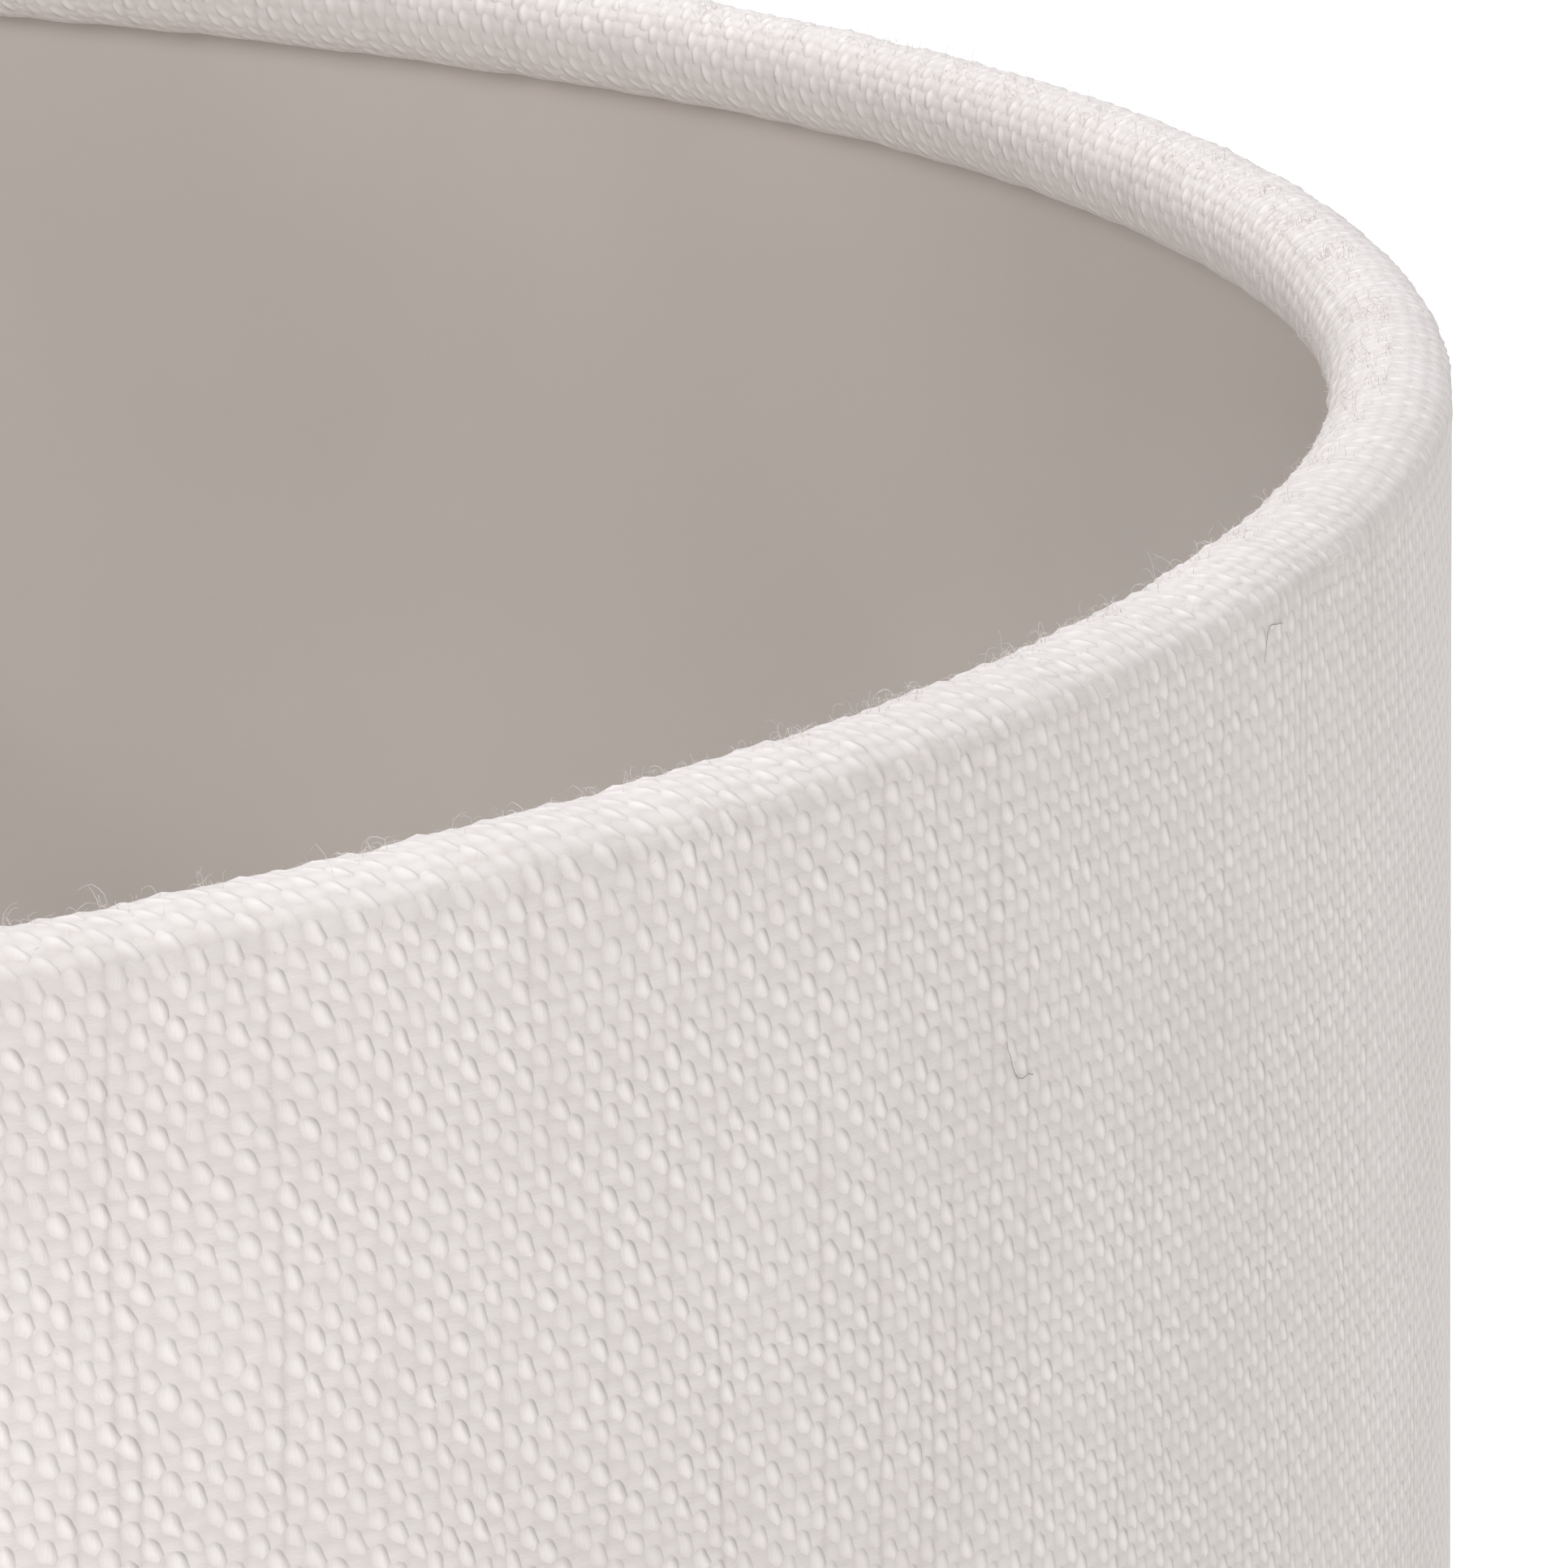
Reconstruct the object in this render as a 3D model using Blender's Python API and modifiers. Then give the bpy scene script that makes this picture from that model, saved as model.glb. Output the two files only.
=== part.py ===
"""A straight drum lamp shade: a linen cover rolled over two rings, a liner, and a three-armed fitter.

The shade stands on its bottom roll. Z is the axis of the drum, and the fitter hangs below the top roll.
"""

import math

import bmesh
import bpy

# Overall size, in metres
SHADE_RADIUS = 0.100
SHADE_HEIGHT = 0.160

# Cover and liner
COVER_THICKNESS = 0.00045
COVER_LAP_WIDTH = 0.011
COVER_LAP_HEIGHT = 0.0005
COVER_LAP_SINK = 0.00027
HEM_WRAP = math.radians(300)
LINER_THICKNESS = 0.0004
LINER_LAP_WIDTH = 0.012
LINER_LAP_RAMP = 0.005
SEAM_ANGLE = math.radians(105)
SEAM_TAPE_WIDTH = 0.008
SEAM_TAPE_THICKNESS = 0.0001
SEAM_TAPE_INSET = 0.002

# Rings and the tape on them
RING_WIRE_RADIUS = 0.0012
RING_TAPE_THICKNESS = 0.0001
RING_TAPE_WRAP = math.radians(180)

# Spider arms
ARM_WIRE_RADIUS = 0.0012
ARM_BEND_RADIUS = 0.006
ARM_ANGLES = [math.radians(degrees) for degrees in (75, 195, 315)]
ARM_WELD_LENGTH = 0.0045

# Fitter washer, which the lamp holder goes through
FITTER_RECESS = 0.022
FITTER_HOLE_RADIUS = 0.021
FITTER_RIM_WIDTH = 0.007
FITTER_THICKNESS = 0.0015
FITTER_SEAT_DEPTH = 0.0004
FITTER_EDGE = 0.0003

# Reducer ring, which drops into the fitter
REDUCER_HOLE_RADIUS = 0.0145
REDUCER_FLANGE_OVERLAP = 0.003
REDUCER_FLANGE_THICKNESS = 0.0012
REDUCER_SKIRT_DEPTH = 0.0035
REDUCER_SKIRT_WALL = 0.0014
REDUCER_LIP_WIDTH = 0.0012
REDUCER_LIP_HEIGHT = 0.0008
REDUCER_EDGE = 0.0003

# Clearances
CONTACT_GAP = 0.0003
ROLL_GAP = 0.0002

# How finely round shapes are cut
ROUND_STEPS = 60
ROLL_STEP = math.radians(30)
TAPE_STEP = math.radians(45)
EDGE_STEP = math.radians(90)
WIRE_SIDES = 6
BEND_STEPS = 6
MERGE_DISTANCE = 0.00001

# Sizes that follow from the ones above
ROLL_BORE = RING_WIRE_RADIUS + RING_TAPE_THICKNESS + 2 * ROLL_GAP
ROLL_RADIUS = ROLL_BORE + COVER_THICKNESS
ROLL_CENTRE = SHADE_RADIUS - ROLL_RADIUS
TOP_ROLL_Z = SHADE_HEIGHT - ROLL_RADIUS
BOTTOM_ROLL_Z = ROLL_RADIUS
LINER_OUTSIDE = SHADE_RADIUS - COVER_THICKNESS - CONTACT_GAP
LINER_INSIDE = LINER_OUTSIDE - LINER_THICKNESS
LINER_BOTTOM = 2 * ROLL_RADIUS + CONTACT_GAP
LINER_TOP = SHADE_HEIGHT - LINER_BOTTOM
LAP_STEP = LINER_THICKNESS + SEAM_TAPE_THICKNESS + 2 * ROLL_GAP
ARM_DROP_RADIUS = LINER_INSIDE - CONTACT_GAP - ARM_WIRE_RADIUS
ARM_TOP = TOP_ROLL_Z - RING_WIRE_RADIUS - ROLL_GAP
FITTER_TOP = SHADE_HEIGHT - FITTER_RECESS
FITTER_BOTTOM = FITTER_TOP - FITTER_THICKNESS
FITTER_RADIUS = FITTER_HOLE_RADIUS + FITTER_RIM_WIDTH
FLANGE_RADIUS = FITTER_HOLE_RADIUS + REDUCER_FLANGE_OVERLAP
SEAT_RADIUS = FLANGE_RADIUS + CONTACT_GAP
SEAT_Z = FITTER_TOP - FITTER_SEAT_DEPTH
ARM_RUN_Z = FITTER_BOTTOM - CONTACT_GAP - ARM_WIRE_RADIUS

COLOURS = {
    "linen": ((0.86, 0.84, 0.80), 0.9, 0.0),
    "liner": ((0.80, 0.77, 0.74), 0.55, 0.0),
    "tape": ((0.88, 0.86, 0.78), 0.35, 0.0),
    "steel": ((0.85, 0.85, 0.83), 0.4, 0.3),
    "plastic": ((0.87, 0.87, 0.85), 0.45, 0.0),
}


def clear_scene():
    for old in list(bpy.data.objects):
        bpy.data.objects.remove(old, do_unlink=True)


def new_collection(name):
    group = bpy.data.collections.new(name)
    bpy.context.scene.collection.children.link(group)
    return group


def finish_material(finish):
    """One Principled material for each finish, made the first time that it is asked for."""
    if finish in bpy.data.materials:
        return bpy.data.materials[finish]
    colour, roughness, metallic = COLOURS[finish]
    material = bpy.data.materials.new(finish)
    material.use_nodes = True
    shader = material.node_tree.nodes["Principled BSDF"]
    shader.inputs["Base Color"].default_value = (*colour, 1)
    shader.inputs["Roughness"].default_value = roughness
    shader.inputs["Metallic"].default_value = metallic
    return material


def add_piece(name, data, finish, group):
    piece = bpy.data.objects.new(name, data)
    data.materials.append(finish_material(finish))
    group.objects.link(piece)
    return piece


def turned(name, profile, finish, group):
    """A closed (radius, height) profile turned about Z: down its outer side and up its inner side."""
    mesh = bpy.data.meshes.new(name)
    points = [(radius, 0, height) for radius, height in profile]
    edges = [(i, (i + 1) % len(points)) for i in range(len(points))]
    mesh.from_pydata(points, edges, [])
    piece = add_piece(name, mesh, finish, group)
    screw = piece.modifiers.new("Turn", "SCREW")
    screw.axis = "Z"
    screw.angle = math.tau
    screw.steps = ROUND_STEPS
    screw.render_steps = ROUND_STEPS
    screw.use_merge_vertices = True
    screw.merge_threshold = MERGE_DISTANCE
    screw.use_smooth_shade = True
    return piece


def arc(centre_r, centre_z, radius, start, end, step):
    """Points on a round stretch of a profile, from start to end. Angle 0 points away from the axis."""
    count = max(1, round(abs(end - start) / step))
    angles = [start + (end - start) * i / count for i in range(count + 1)]
    return [(centre_r + radius * math.cos(a), centre_z + radius * math.sin(a)) for a in angles]


def plan_solid(name, outline, bottom, top, finish, group):
    """A solid with a flat outline in plan, standing from bottom to top."""
    curve = bpy.data.curves.new(name, "CURVE")
    curve.dimensions = "2D"
    curve.fill_mode = "BOTH"
    curve.extrude = (top - bottom) / 2
    spline = curve.splines.new("POLY")
    spline.points.add(len(outline) - 1)
    for point, (x, y) in zip(spline.points, outline):
        point.co = (x, y, 0, 1)
    spline.use_cyclic_u = True
    piece = add_piece(name, curve, finish, group)
    piece.location.z = (top + bottom) / 2
    return piece


def as_mesh(piece, group):
    """The same piece as a mesh with welded caps, which a Boolean can take. The curve is removed."""
    bpy.context.view_layer.update()
    source = piece.evaluated_get(bpy.context.evaluated_depsgraph_get())
    mesh = bpy.data.meshes.new_from_object(source)
    welded = bmesh.new()
    welded.from_mesh(mesh)
    bmesh.ops.remove_doubles(welded, verts=welded.verts, dist=MERGE_DISTANCE)
    welded.to_mesh(mesh)
    welded.free()
    solid = bpy.data.objects.new(piece.name + "_mesh", mesh)
    solid.matrix_world = piece.matrix_world
    bpy.data.objects.remove(piece, do_unlink=True)
    group.objects.link(solid)
    return solid


def hide_cutter(cutter):
    cutter.hide_render = True
    cutter.display_type = "WIRE"


def combine(piece, other, operation):
    boolean = piece.modifiers.new(operation.title(), "BOOLEAN")
    boolean.operation = operation
    boolean.solver = "EXACT"
    boolean.object = other


def on_circle(radius, angle):
    return radius * math.cos(angle), radius * math.sin(angle)


def roll_profile():
    """The cover in section: top hem and roll, wall, bottom roll and hem, then back along the inside."""
    profile = arc(ROLL_CENTRE, TOP_ROLL_Z, ROLL_RADIUS, HEM_WRAP, 0, ROLL_STEP)
    profile += arc(ROLL_CENTRE, BOTTOM_ROLL_Z, ROLL_RADIUS, 0, -HEM_WRAP, ROLL_STEP)
    profile += arc(ROLL_CENTRE, BOTTOM_ROLL_Z, ROLL_BORE, -HEM_WRAP, 0, ROLL_STEP)
    profile += arc(ROLL_CENTRE, TOP_ROLL_Z, ROLL_BORE, 0, HEM_WRAP, ROLL_STEP)
    return profile


def cover_lap(cutters):
    """The folded edge of the cover, lapped over its other end and glued down."""
    half = COVER_LAP_WIDTH / 2 / SHADE_RADIUS
    steps = 4
    angles = [SEAM_ANGLE - half + 2 * half * i / steps for i in range(steps + 1)]
    outer = SHADE_RADIUS + COVER_LAP_HEIGHT
    inner = SHADE_RADIUS - COVER_LAP_SINK
    outline = [on_circle(outer, a) for a in angles]
    outline += [on_circle(inner, a) for a in reversed(angles)]
    strip = plan_solid("cover_lap", outline, BOTTOM_ROLL_Z, TOP_ROLL_Z, "linen", cutters)
    strip = as_mesh(strip, cutters)
    hide_cutter(strip)
    return strip


def hem_notch(angle, cutters):
    """The cut in the hem that lets a spider arm out from under the top roll."""
    inner = ARM_DROP_RADIUS - ARM_WIRE_RADIUS - 2 * CONTACT_GAP
    outer = LINER_OUTSIDE
    top = ARM_TOP + CONTACT_GAP
    bottom = TOP_ROLL_Z - ROLL_RADIUS - CONTACT_GAP
    width = 2 * (ARM_WIRE_RADIUS + CONTACT_GAP)
    x, y = on_circle((inner + outer) / 2, angle)
    bpy.ops.mesh.primitive_cube_add(size=1, location=(x, y, (top + bottom) / 2), rotation=(0, 0, angle))
    cutter = bpy.context.object
    cutter.name = "hem_notch_cutter"
    cutter.scale = (outer - inner, width, top - bottom)
    for old_group in list(cutter.users_collection):
        old_group.objects.unlink(cutter)
    cutters.objects.link(cutter)
    hide_cutter(cutter)
    return cutter


def make_cover(group, cutters):
    cover = turned("fabric_cover", roll_profile(), "linen", group)
    combine(cover, cover_lap(cutters), "UNION")
    for angle in ARM_ANGLES:
        combine(cover, hem_notch(angle, cutters), "DIFFERENCE")


def liner_path():
    """(angle, inward shift) along the liner sheet: once round, then in and under its own start."""
    step = math.tau / ROUND_STEPS
    start = SEAM_ANGLE - LINER_LAP_WIDTH / 2 / SHADE_RADIUS
    ramp = LINER_LAP_RAMP / SHADE_RADIUS
    lap = LINER_LAP_WIDTH / SHADE_RADIUS
    round_end = start + math.tau - ramp - step / 2
    count = ROUND_STEPS
    path = [(start + (round_end - start) * i / count, 0) for i in range(count + 1)]
    path.append((start + math.tau - step / 4, LAP_STEP))
    lap_steps = 3
    path += [(start + math.tau + lap * i / lap_steps, LAP_STEP) for i in range(1, lap_steps + 1)]
    return path


def make_liner(group):
    path = liner_path()
    outline = [on_circle(LINER_OUTSIDE - shift, angle) for angle, shift in path]
    outline += [on_circle(LINER_INSIDE - shift, angle) for angle, shift in reversed(path)]
    plan_solid("liner_sheet", outline, LINER_BOTTOM, LINER_TOP, "liner", group)


def make_seam_tape(group):
    """The double-sided tape that joins the liner's two laps."""
    outer = LINER_INSIDE - ROLL_GAP
    inner = outer - SEAM_TAPE_THICKNESS
    half = SEAM_TAPE_WIDTH / 2 / SHADE_RADIUS
    steps = 3
    angles = [SEAM_ANGLE - half + 2 * half * i / steps for i in range(steps + 1)]
    outline = [on_circle(outer, a) for a in angles]
    outline += [on_circle(inner, a) for a in reversed(angles)]
    bottom = LINER_BOTTOM + SEAM_TAPE_INSET
    top = LINER_TOP - SEAM_TAPE_INSET
    plan_solid("liner_seam_tape", outline, bottom, top, "tape", group)


def make_ring(name, height, group):
    bpy.ops.mesh.primitive_torus_add(
        location=(0, 0, height),
        major_segments=ROUND_STEPS,
        minor_segments=WIRE_SIDES,
        major_radius=ROLL_CENTRE,
        minor_radius=RING_WIRE_RADIUS,
    )
    ring = bpy.context.object
    ring.name = name
    ring.data.name = name
    ring.data.shade_smooth()
    ring.data.materials.append(finish_material("steel"))
    for old_group in list(ring.users_collection):
        old_group.objects.unlink(ring)
    group.objects.link(ring)


def make_ring_tape(name, height, away, group):
    """The tape on a ring's outward half. away is 1 for the top ring and -1 for the bottom ring."""
    inner = RING_WIRE_RADIUS + ROLL_GAP
    outer = inner + RING_TAPE_THICKNESS
    start = away * math.pi / 2 + RING_TAPE_WRAP / 2
    end = away * math.pi / 2 - RING_TAPE_WRAP / 2
    profile = arc(ROLL_CENTRE, height, outer, start, end, TAPE_STEP)
    profile += arc(ROLL_CENTRE, height, inner, end, start, TAPE_STEP)
    turned(name, profile, "tape", group)


def arm_path():
    """(radius, height) along an arm's wire: down from the ring, round the bend and in to the fitter."""
    corner_r = ARM_DROP_RADIUS - ARM_BEND_RADIUS
    corner_z = ARM_RUN_Z + ARM_BEND_RADIUS
    path = [(ARM_DROP_RADIUS, ARM_TOP)]
    path += arc(corner_r, corner_z, ARM_BEND_RADIUS, 0, -math.pi / 2, math.pi / 2 / BEND_STEPS)
    path.append((FITTER_RADIUS - ARM_WELD_LENGTH, ARM_RUN_Z))
    return path


def make_arms(group):
    curve = bpy.data.curves.new("spider_arm", "CURVE")
    curve.dimensions = "3D"
    curve.bevel_depth = ARM_WIRE_RADIUS
    curve.bevel_resolution = 2
    curve.use_fill_caps = True
    path = arm_path()
    spline = curve.splines.new("POLY")
    spline.points.add(len(path) - 1)
    for point, (radius, height) in zip(spline.points, path):
        point.co = (radius, 0, height, 1)
    spline.use_smooth = True
    curve.materials.append(finish_material("steel"))
    for number, angle in enumerate(ARM_ANGLES, start=1):
        arm = bpy.data.objects.new(f"spider_arm_{number}", curve)
        arm.rotation_euler.z = angle
        group.objects.link(arm)


def make_fitter(group):
    """A stamped washer, with a shallow seat round its hole that the reducer's flange lies in."""
    quarter = math.pi / 2
    edge = FITTER_EDGE
    profile = arc(FITTER_HOLE_RADIUS + edge, SEAT_Z - edge, edge, 2 * quarter, quarter, EDGE_STEP)
    profile += [(SEAT_RADIUS, SEAT_Z), (SEAT_RADIUS, FITTER_TOP)]
    profile += arc(FITTER_RADIUS - edge, FITTER_TOP - edge, edge, quarter, 0, EDGE_STEP)
    profile += arc(FITTER_RADIUS - edge, FITTER_BOTTOM + edge, edge, 0, -quarter, EDGE_STEP)
    inner = FITTER_HOLE_RADIUS + edge
    profile += arc(inner, FITTER_BOTTOM + edge, edge, -quarter, -2 * quarter, EDGE_STEP)
    turned("fitter_ring", profile, "steel", group)


def make_reducer(group):
    """A flange that lies in the fitter's seat, a skirt that centres it and a raised lip round its hole."""
    quarter = math.pi / 2
    edge = REDUCER_EDGE
    flange_bottom = SEAT_Z + CONTACT_GAP
    flange_top = flange_bottom + REDUCER_FLANGE_THICKNESS
    lip_radius = REDUCER_HOLE_RADIUS + REDUCER_LIP_WIDTH
    lip_top = flange_top + REDUCER_LIP_HEIGHT
    skirt_outer = FITTER_HOLE_RADIUS - CONTACT_GAP
    skirt_inner = skirt_outer - REDUCER_SKIRT_WALL
    skirt_bottom = SEAT_Z - REDUCER_SKIRT_DEPTH
    profile = arc(REDUCER_HOLE_RADIUS + edge, lip_top - edge, edge, 2 * quarter, quarter, EDGE_STEP)
    profile += arc(lip_radius - edge, lip_top - edge, edge, quarter, 0, EDGE_STEP)
    profile.append((lip_radius, flange_top))
    profile += arc(FLANGE_RADIUS - edge, flange_top - edge, edge, quarter, 0, EDGE_STEP)
    profile += arc(FLANGE_RADIUS - edge, flange_bottom + edge, edge, 0, -quarter, EDGE_STEP)
    profile.append((skirt_outer, flange_bottom))
    profile += arc(skirt_outer - edge, skirt_bottom + edge, edge, 0, -quarter, EDGE_STEP)
    profile += arc(skirt_inner + edge, skirt_bottom + edge, edge, -quarter, -2 * quarter, EDGE_STEP)
    profile.append((skirt_inner, flange_bottom))
    profile.append((REDUCER_HOLE_RADIUS, flange_bottom))
    turned("reducer_ring", profile, "plastic", group)


def main():
    clear_scene()
    shade = new_collection("Lamp shade")
    cutters = new_collection("Cutters")
    make_cover(shade, cutters)
    make_liner(shade)
    make_seam_tape(shade)
    make_ring("top_ring", TOP_ROLL_Z, shade)
    make_ring("bottom_ring", BOTTOM_ROLL_Z, shade)
    make_ring_tape("top_ring_tape", TOP_ROLL_Z, 1, shade)
    make_ring_tape("bottom_ring_tape", BOTTOM_ROLL_Z, -1, shade)
    make_arms(shade)
    make_fitter(shade)
    make_reducer(shade)


main()
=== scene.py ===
"""Finishes a straight drum lamp shade on a white stage.

It makes the linen cover and its loose fibres, the liner, the wire spider, the fitter and the reducer.
"""

import math

import bmesh
import bpy
import numpy as np
from bpy.props import FloatProperty, FloatVectorProperty, IntProperty, PointerProperty
from mathutils import Matrix, Vector


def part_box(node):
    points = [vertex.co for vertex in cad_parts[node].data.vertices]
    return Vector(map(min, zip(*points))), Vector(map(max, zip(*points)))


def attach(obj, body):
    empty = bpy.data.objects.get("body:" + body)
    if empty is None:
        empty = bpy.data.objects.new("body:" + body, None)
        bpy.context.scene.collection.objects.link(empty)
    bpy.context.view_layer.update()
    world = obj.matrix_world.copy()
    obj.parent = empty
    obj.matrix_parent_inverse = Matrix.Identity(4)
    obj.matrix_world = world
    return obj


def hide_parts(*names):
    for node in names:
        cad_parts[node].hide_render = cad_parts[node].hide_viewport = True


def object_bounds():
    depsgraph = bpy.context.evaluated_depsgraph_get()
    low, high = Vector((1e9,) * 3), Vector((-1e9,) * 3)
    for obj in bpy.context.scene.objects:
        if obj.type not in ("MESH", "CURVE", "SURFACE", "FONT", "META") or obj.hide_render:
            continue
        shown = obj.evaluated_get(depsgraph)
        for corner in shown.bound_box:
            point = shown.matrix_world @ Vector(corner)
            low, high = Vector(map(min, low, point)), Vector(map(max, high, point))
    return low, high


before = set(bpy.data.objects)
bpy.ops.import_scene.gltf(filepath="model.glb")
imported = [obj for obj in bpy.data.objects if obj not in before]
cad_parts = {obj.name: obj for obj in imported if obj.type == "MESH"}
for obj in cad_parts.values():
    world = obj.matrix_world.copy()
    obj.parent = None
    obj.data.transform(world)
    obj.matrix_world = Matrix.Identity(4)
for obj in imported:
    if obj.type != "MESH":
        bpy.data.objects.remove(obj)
CAD_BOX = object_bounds()

bl_info = {
    "name": "Linen Drum Lamp Shade",
    "version": (1, 0, 0),
    "blender": (4, 5, 0),
    "location": "3D View > Sidebar > Lamp Shade",
    "description": "Builds the linen cover, liner, wire spider, fitter and reducer of a drum lamp shade",
    "category": "Object",
}

MM = 0.001
TAU = math.tau

# Where the frame puts the pieces
SHADE_RADIUS = CAD_BOX[1][0]
SHADE_HEIGHT = CAD_BOX[1][2]
RING_LOW, RING_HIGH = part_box("top_ring")
TOP_ROLL_Z = (RING_LOW.z + RING_HIGH.z) / 2
ROLL_RADIUS = SHADE_HEIGHT - TOP_ROLL_Z
ROLL_CENTRE = SHADE_RADIUS - ROLL_RADIUS
BOTTOM_ROLL_Z = ROLL_RADIUS
RING_WIRE_RADIUS = RING_HIGH.x - ROLL_CENTRE
LINER_LOW, LINER_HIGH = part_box("liner_sheet")
FITTER_LOW, FITTER_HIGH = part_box("fitter_ring")
REDUCER_LOW, REDUCER_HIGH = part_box("reducer_ring")
ARM_LOW, ARM_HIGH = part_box("spider_arm_1")
PRESSED = 0.12 * MM  # how far the lowest cloth may reach below the frame's floor
TUCK = 0.5 * MM  # how much further the liner's edges reach in behind the hems
SEAM_ANGLE = math.radians(105)  # where the cover's and the liner's ends overlap
COVER_LAP = 11 * MM
ARM_ANGLES = [math.radians(degrees) for degrees in (75, 195, 315)]


def linear(hex_colour):
    """An sRGB hex colour as linear red, green and blue."""
    channels = [int(hex_colour[i : i + 2], 16) / 255 for i in (1, 3, 5)]
    return tuple(c / 12.92 if c <= 0.04045 else ((c + 0.055) / 1.055) ** 2.4 for c in channels)


class ShadeSizes(bpy.types.PropertyGroup):
    """The sizes that the frame doesn't settle"""

    cloth_thickness: FloatProperty(
        name="Cloth thickness",
        description="Thickness of the linen",
        default=0.45 * MM,
        unit="LENGTH",
    )
    warp_threads: IntProperty(
        name="Warp threads",
        description="Upright threads round the whole drum",
        default=944,
    )
    weft_pitch: FloatProperty(
        name="Weft pitch",
        description="Distance from one level thread to the next",
        default=0.62 * MM,
        unit="LENGTH",
    )
    hem_wrap: FloatProperty(
        name="Hem wrap",
        description="How far the cloth is rolled round each ring, from the outside of the wall",
        default=math.radians(296),
        unit="ROTATION",
    )
    shoulder: FloatProperty(
        name="Shoulder",
        description="How far the roll's top would bulge past the wall if the wall didn't cut it off",
        default=1.16,
    )
    weave_relief: FloatProperty(
        name="Weave relief",
        description="How far each float stands out of the cloth on the rolls",
        default=0.07 * MM,
        unit="LENGTH",
    )
    lap_height: FloatProperty(
        name="Lap height",
        description="How far the cover's folded edge stands off the cloth under it",
        default=0.5 * MM,
        unit="LENGTH",
    )
    fibre_count: IntProperty(
        name="Loose fibres",
        description="Flax fibres that stand off the rolls and the wall",
        default=7000,
    )
    fibre_diameter: FloatProperty(
        name="Fibre diameter",
        description="Thickness of a loose flax fibre",
        default=0.015 * MM,
        unit="LENGTH",
    )
    liner_thickness: FloatProperty(
        name="Liner thickness",
        description="Thickness of the liner sheet",
        default=0.4 * MM,
        unit="LENGTH",
    )
    arm_wire_radius: FloatProperty(
        name="Arm wire radius",
        description="Radius of a spider arm's wire",
        default=1.2 * MM,
        unit="LENGTH",
    )


class ShadeColours(bpy.types.PropertyGroup):
    """The colours of the finishes"""

    linen_light: FloatVectorProperty(
        name="Linen, raised threads",
        description="Colour of the floats",
        subtype="COLOR",
        default=linear("#F2ECE8"),
    )
    # Painted shade: the weave's colour runs towards this one down between the threads, where shade falls. The
    # loose fibres and the worn flax stem use it as a darker linen tone.
    linen_dark_and_painted_shade: FloatVectorProperty(
        name="Linen, between threads",
        description="Colour down between the threads",
        subtype="COLOR",
        default=linear("#CBC3BD"),
    )
    stem: FloatVectorProperty(
        name="Flax stem",
        description="Colour of the dark flecks in the linen",
        subtype="COLOR",
        default=linear("#6B635A"),
    )
    # Painted shade in part: this is greyer than white PVC film, to stand in for some of the shade inside the
    # drum.
    liner: FloatVectorProperty(
        name="Liner",
        description="Colour of the liner sheet",
        subtype="COLOR",
        default=linear("#CFC7C1"),
    )
    enamel: FloatVectorProperty(
        name="Enamel",
        description="Colour of the coated steel",
        subtype="COLOR",
        default=linear("#EBEAE6"),
    )
    polypropylene: FloatVectorProperty(
        name="Polypropylene",
        description="Colour of the moulded reducer",
        subtype="COLOR",
        default=linear("#ECEBE7"),
    )
    tape: FloatVectorProperty(
        name="Tape",
        description="Colour of the double-sided tape",
        subtype="COLOR",
        default=linear("#E3DCC6"),
    )
    floor: FloatVectorProperty(
        name="Floor",
        description="Colour of the stage floor",
        subtype="COLOR",
        default=linear("#F8F8F7"),
    )


# Small helpers ------------------------------------------------------------------------------------


def add_node(tree, kind, feeds=(), **settings):
    """Adds a shader node with its settings.

    feeds holds values, sockets or nodes, in a tuple for the first inputs or in a dict by the input.
    """
    node = tree.nodes.new("ShaderNode" + kind)
    for name, value in settings.items():
        setattr(node, name, value)
    for socket, value in feeds.items() if isinstance(feeds, dict) else enumerate(feeds):
        if isinstance(value, bpy.types.Node):
            tree.links.new(value.outputs[0], node.inputs[socket])
        elif isinstance(value, bpy.types.NodeSocket):
            tree.links.new(value, node.inputs[socket])
        else:
            node.inputs[socket].default_value = value
    return node


def new_material(name):
    """A material with only a Principled shader and an output, as (material, tree, shader)."""
    material = bpy.data.materials.new(name)
    material.use_nodes = True
    tree = material.node_tree
    tree.nodes.clear()
    shader = add_node(tree, "BsdfPrincipled")
    add_node(tree, "OutputMaterial", {"Surface": shader})
    return material, tree, shader


def deselect_all():
    """Leaves edit mode and deselects every object."""
    if bpy.context.object and bpy.context.object.mode != "OBJECT":
        bpy.ops.object.mode_set(mode="OBJECT")
    bpy.ops.object.select_all(action="DESELECT")


def take_up(piece):
    """Selects one object and makes it active."""
    deselect_all()
    piece.select_set(True)
    bpy.context.view_layer.objects.active = piece


def settle(piece, name, material, body, slot, *nodes):
    """Names a finished piece, puts its place in its mesh, and fastens it to a body of the frame."""
    take_up(piece)
    bpy.ops.object.transform_apply(location=True, rotation=True, scale=True)
    piece.name = name
    piece.data.name = name
    piece.data.materials.clear()
    piece.data.materials.append(material)
    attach(piece, body)
    if nodes:
        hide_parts(*nodes)
    return piece


def wander(angle, height, reach, seed, waves):
    """A smooth random wave round the drum, about -1 to 1. It changes over reach metres of height."""
    rng = np.random.default_rng(seed)
    total = np.zeros(np.broadcast(angle, height).shape)
    for wave in waves:
        phase, drift, lean = rng.uniform(0, TAU, 3)
        bent = wave * angle + phase + 1.7 * np.sin(height / reach + drift)
        total += np.sin(bent) * np.sin(lean + height / reach)
    return total / math.sqrt(len(waves))


# Materials ----------------------------------------------------------------------------------------


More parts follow.
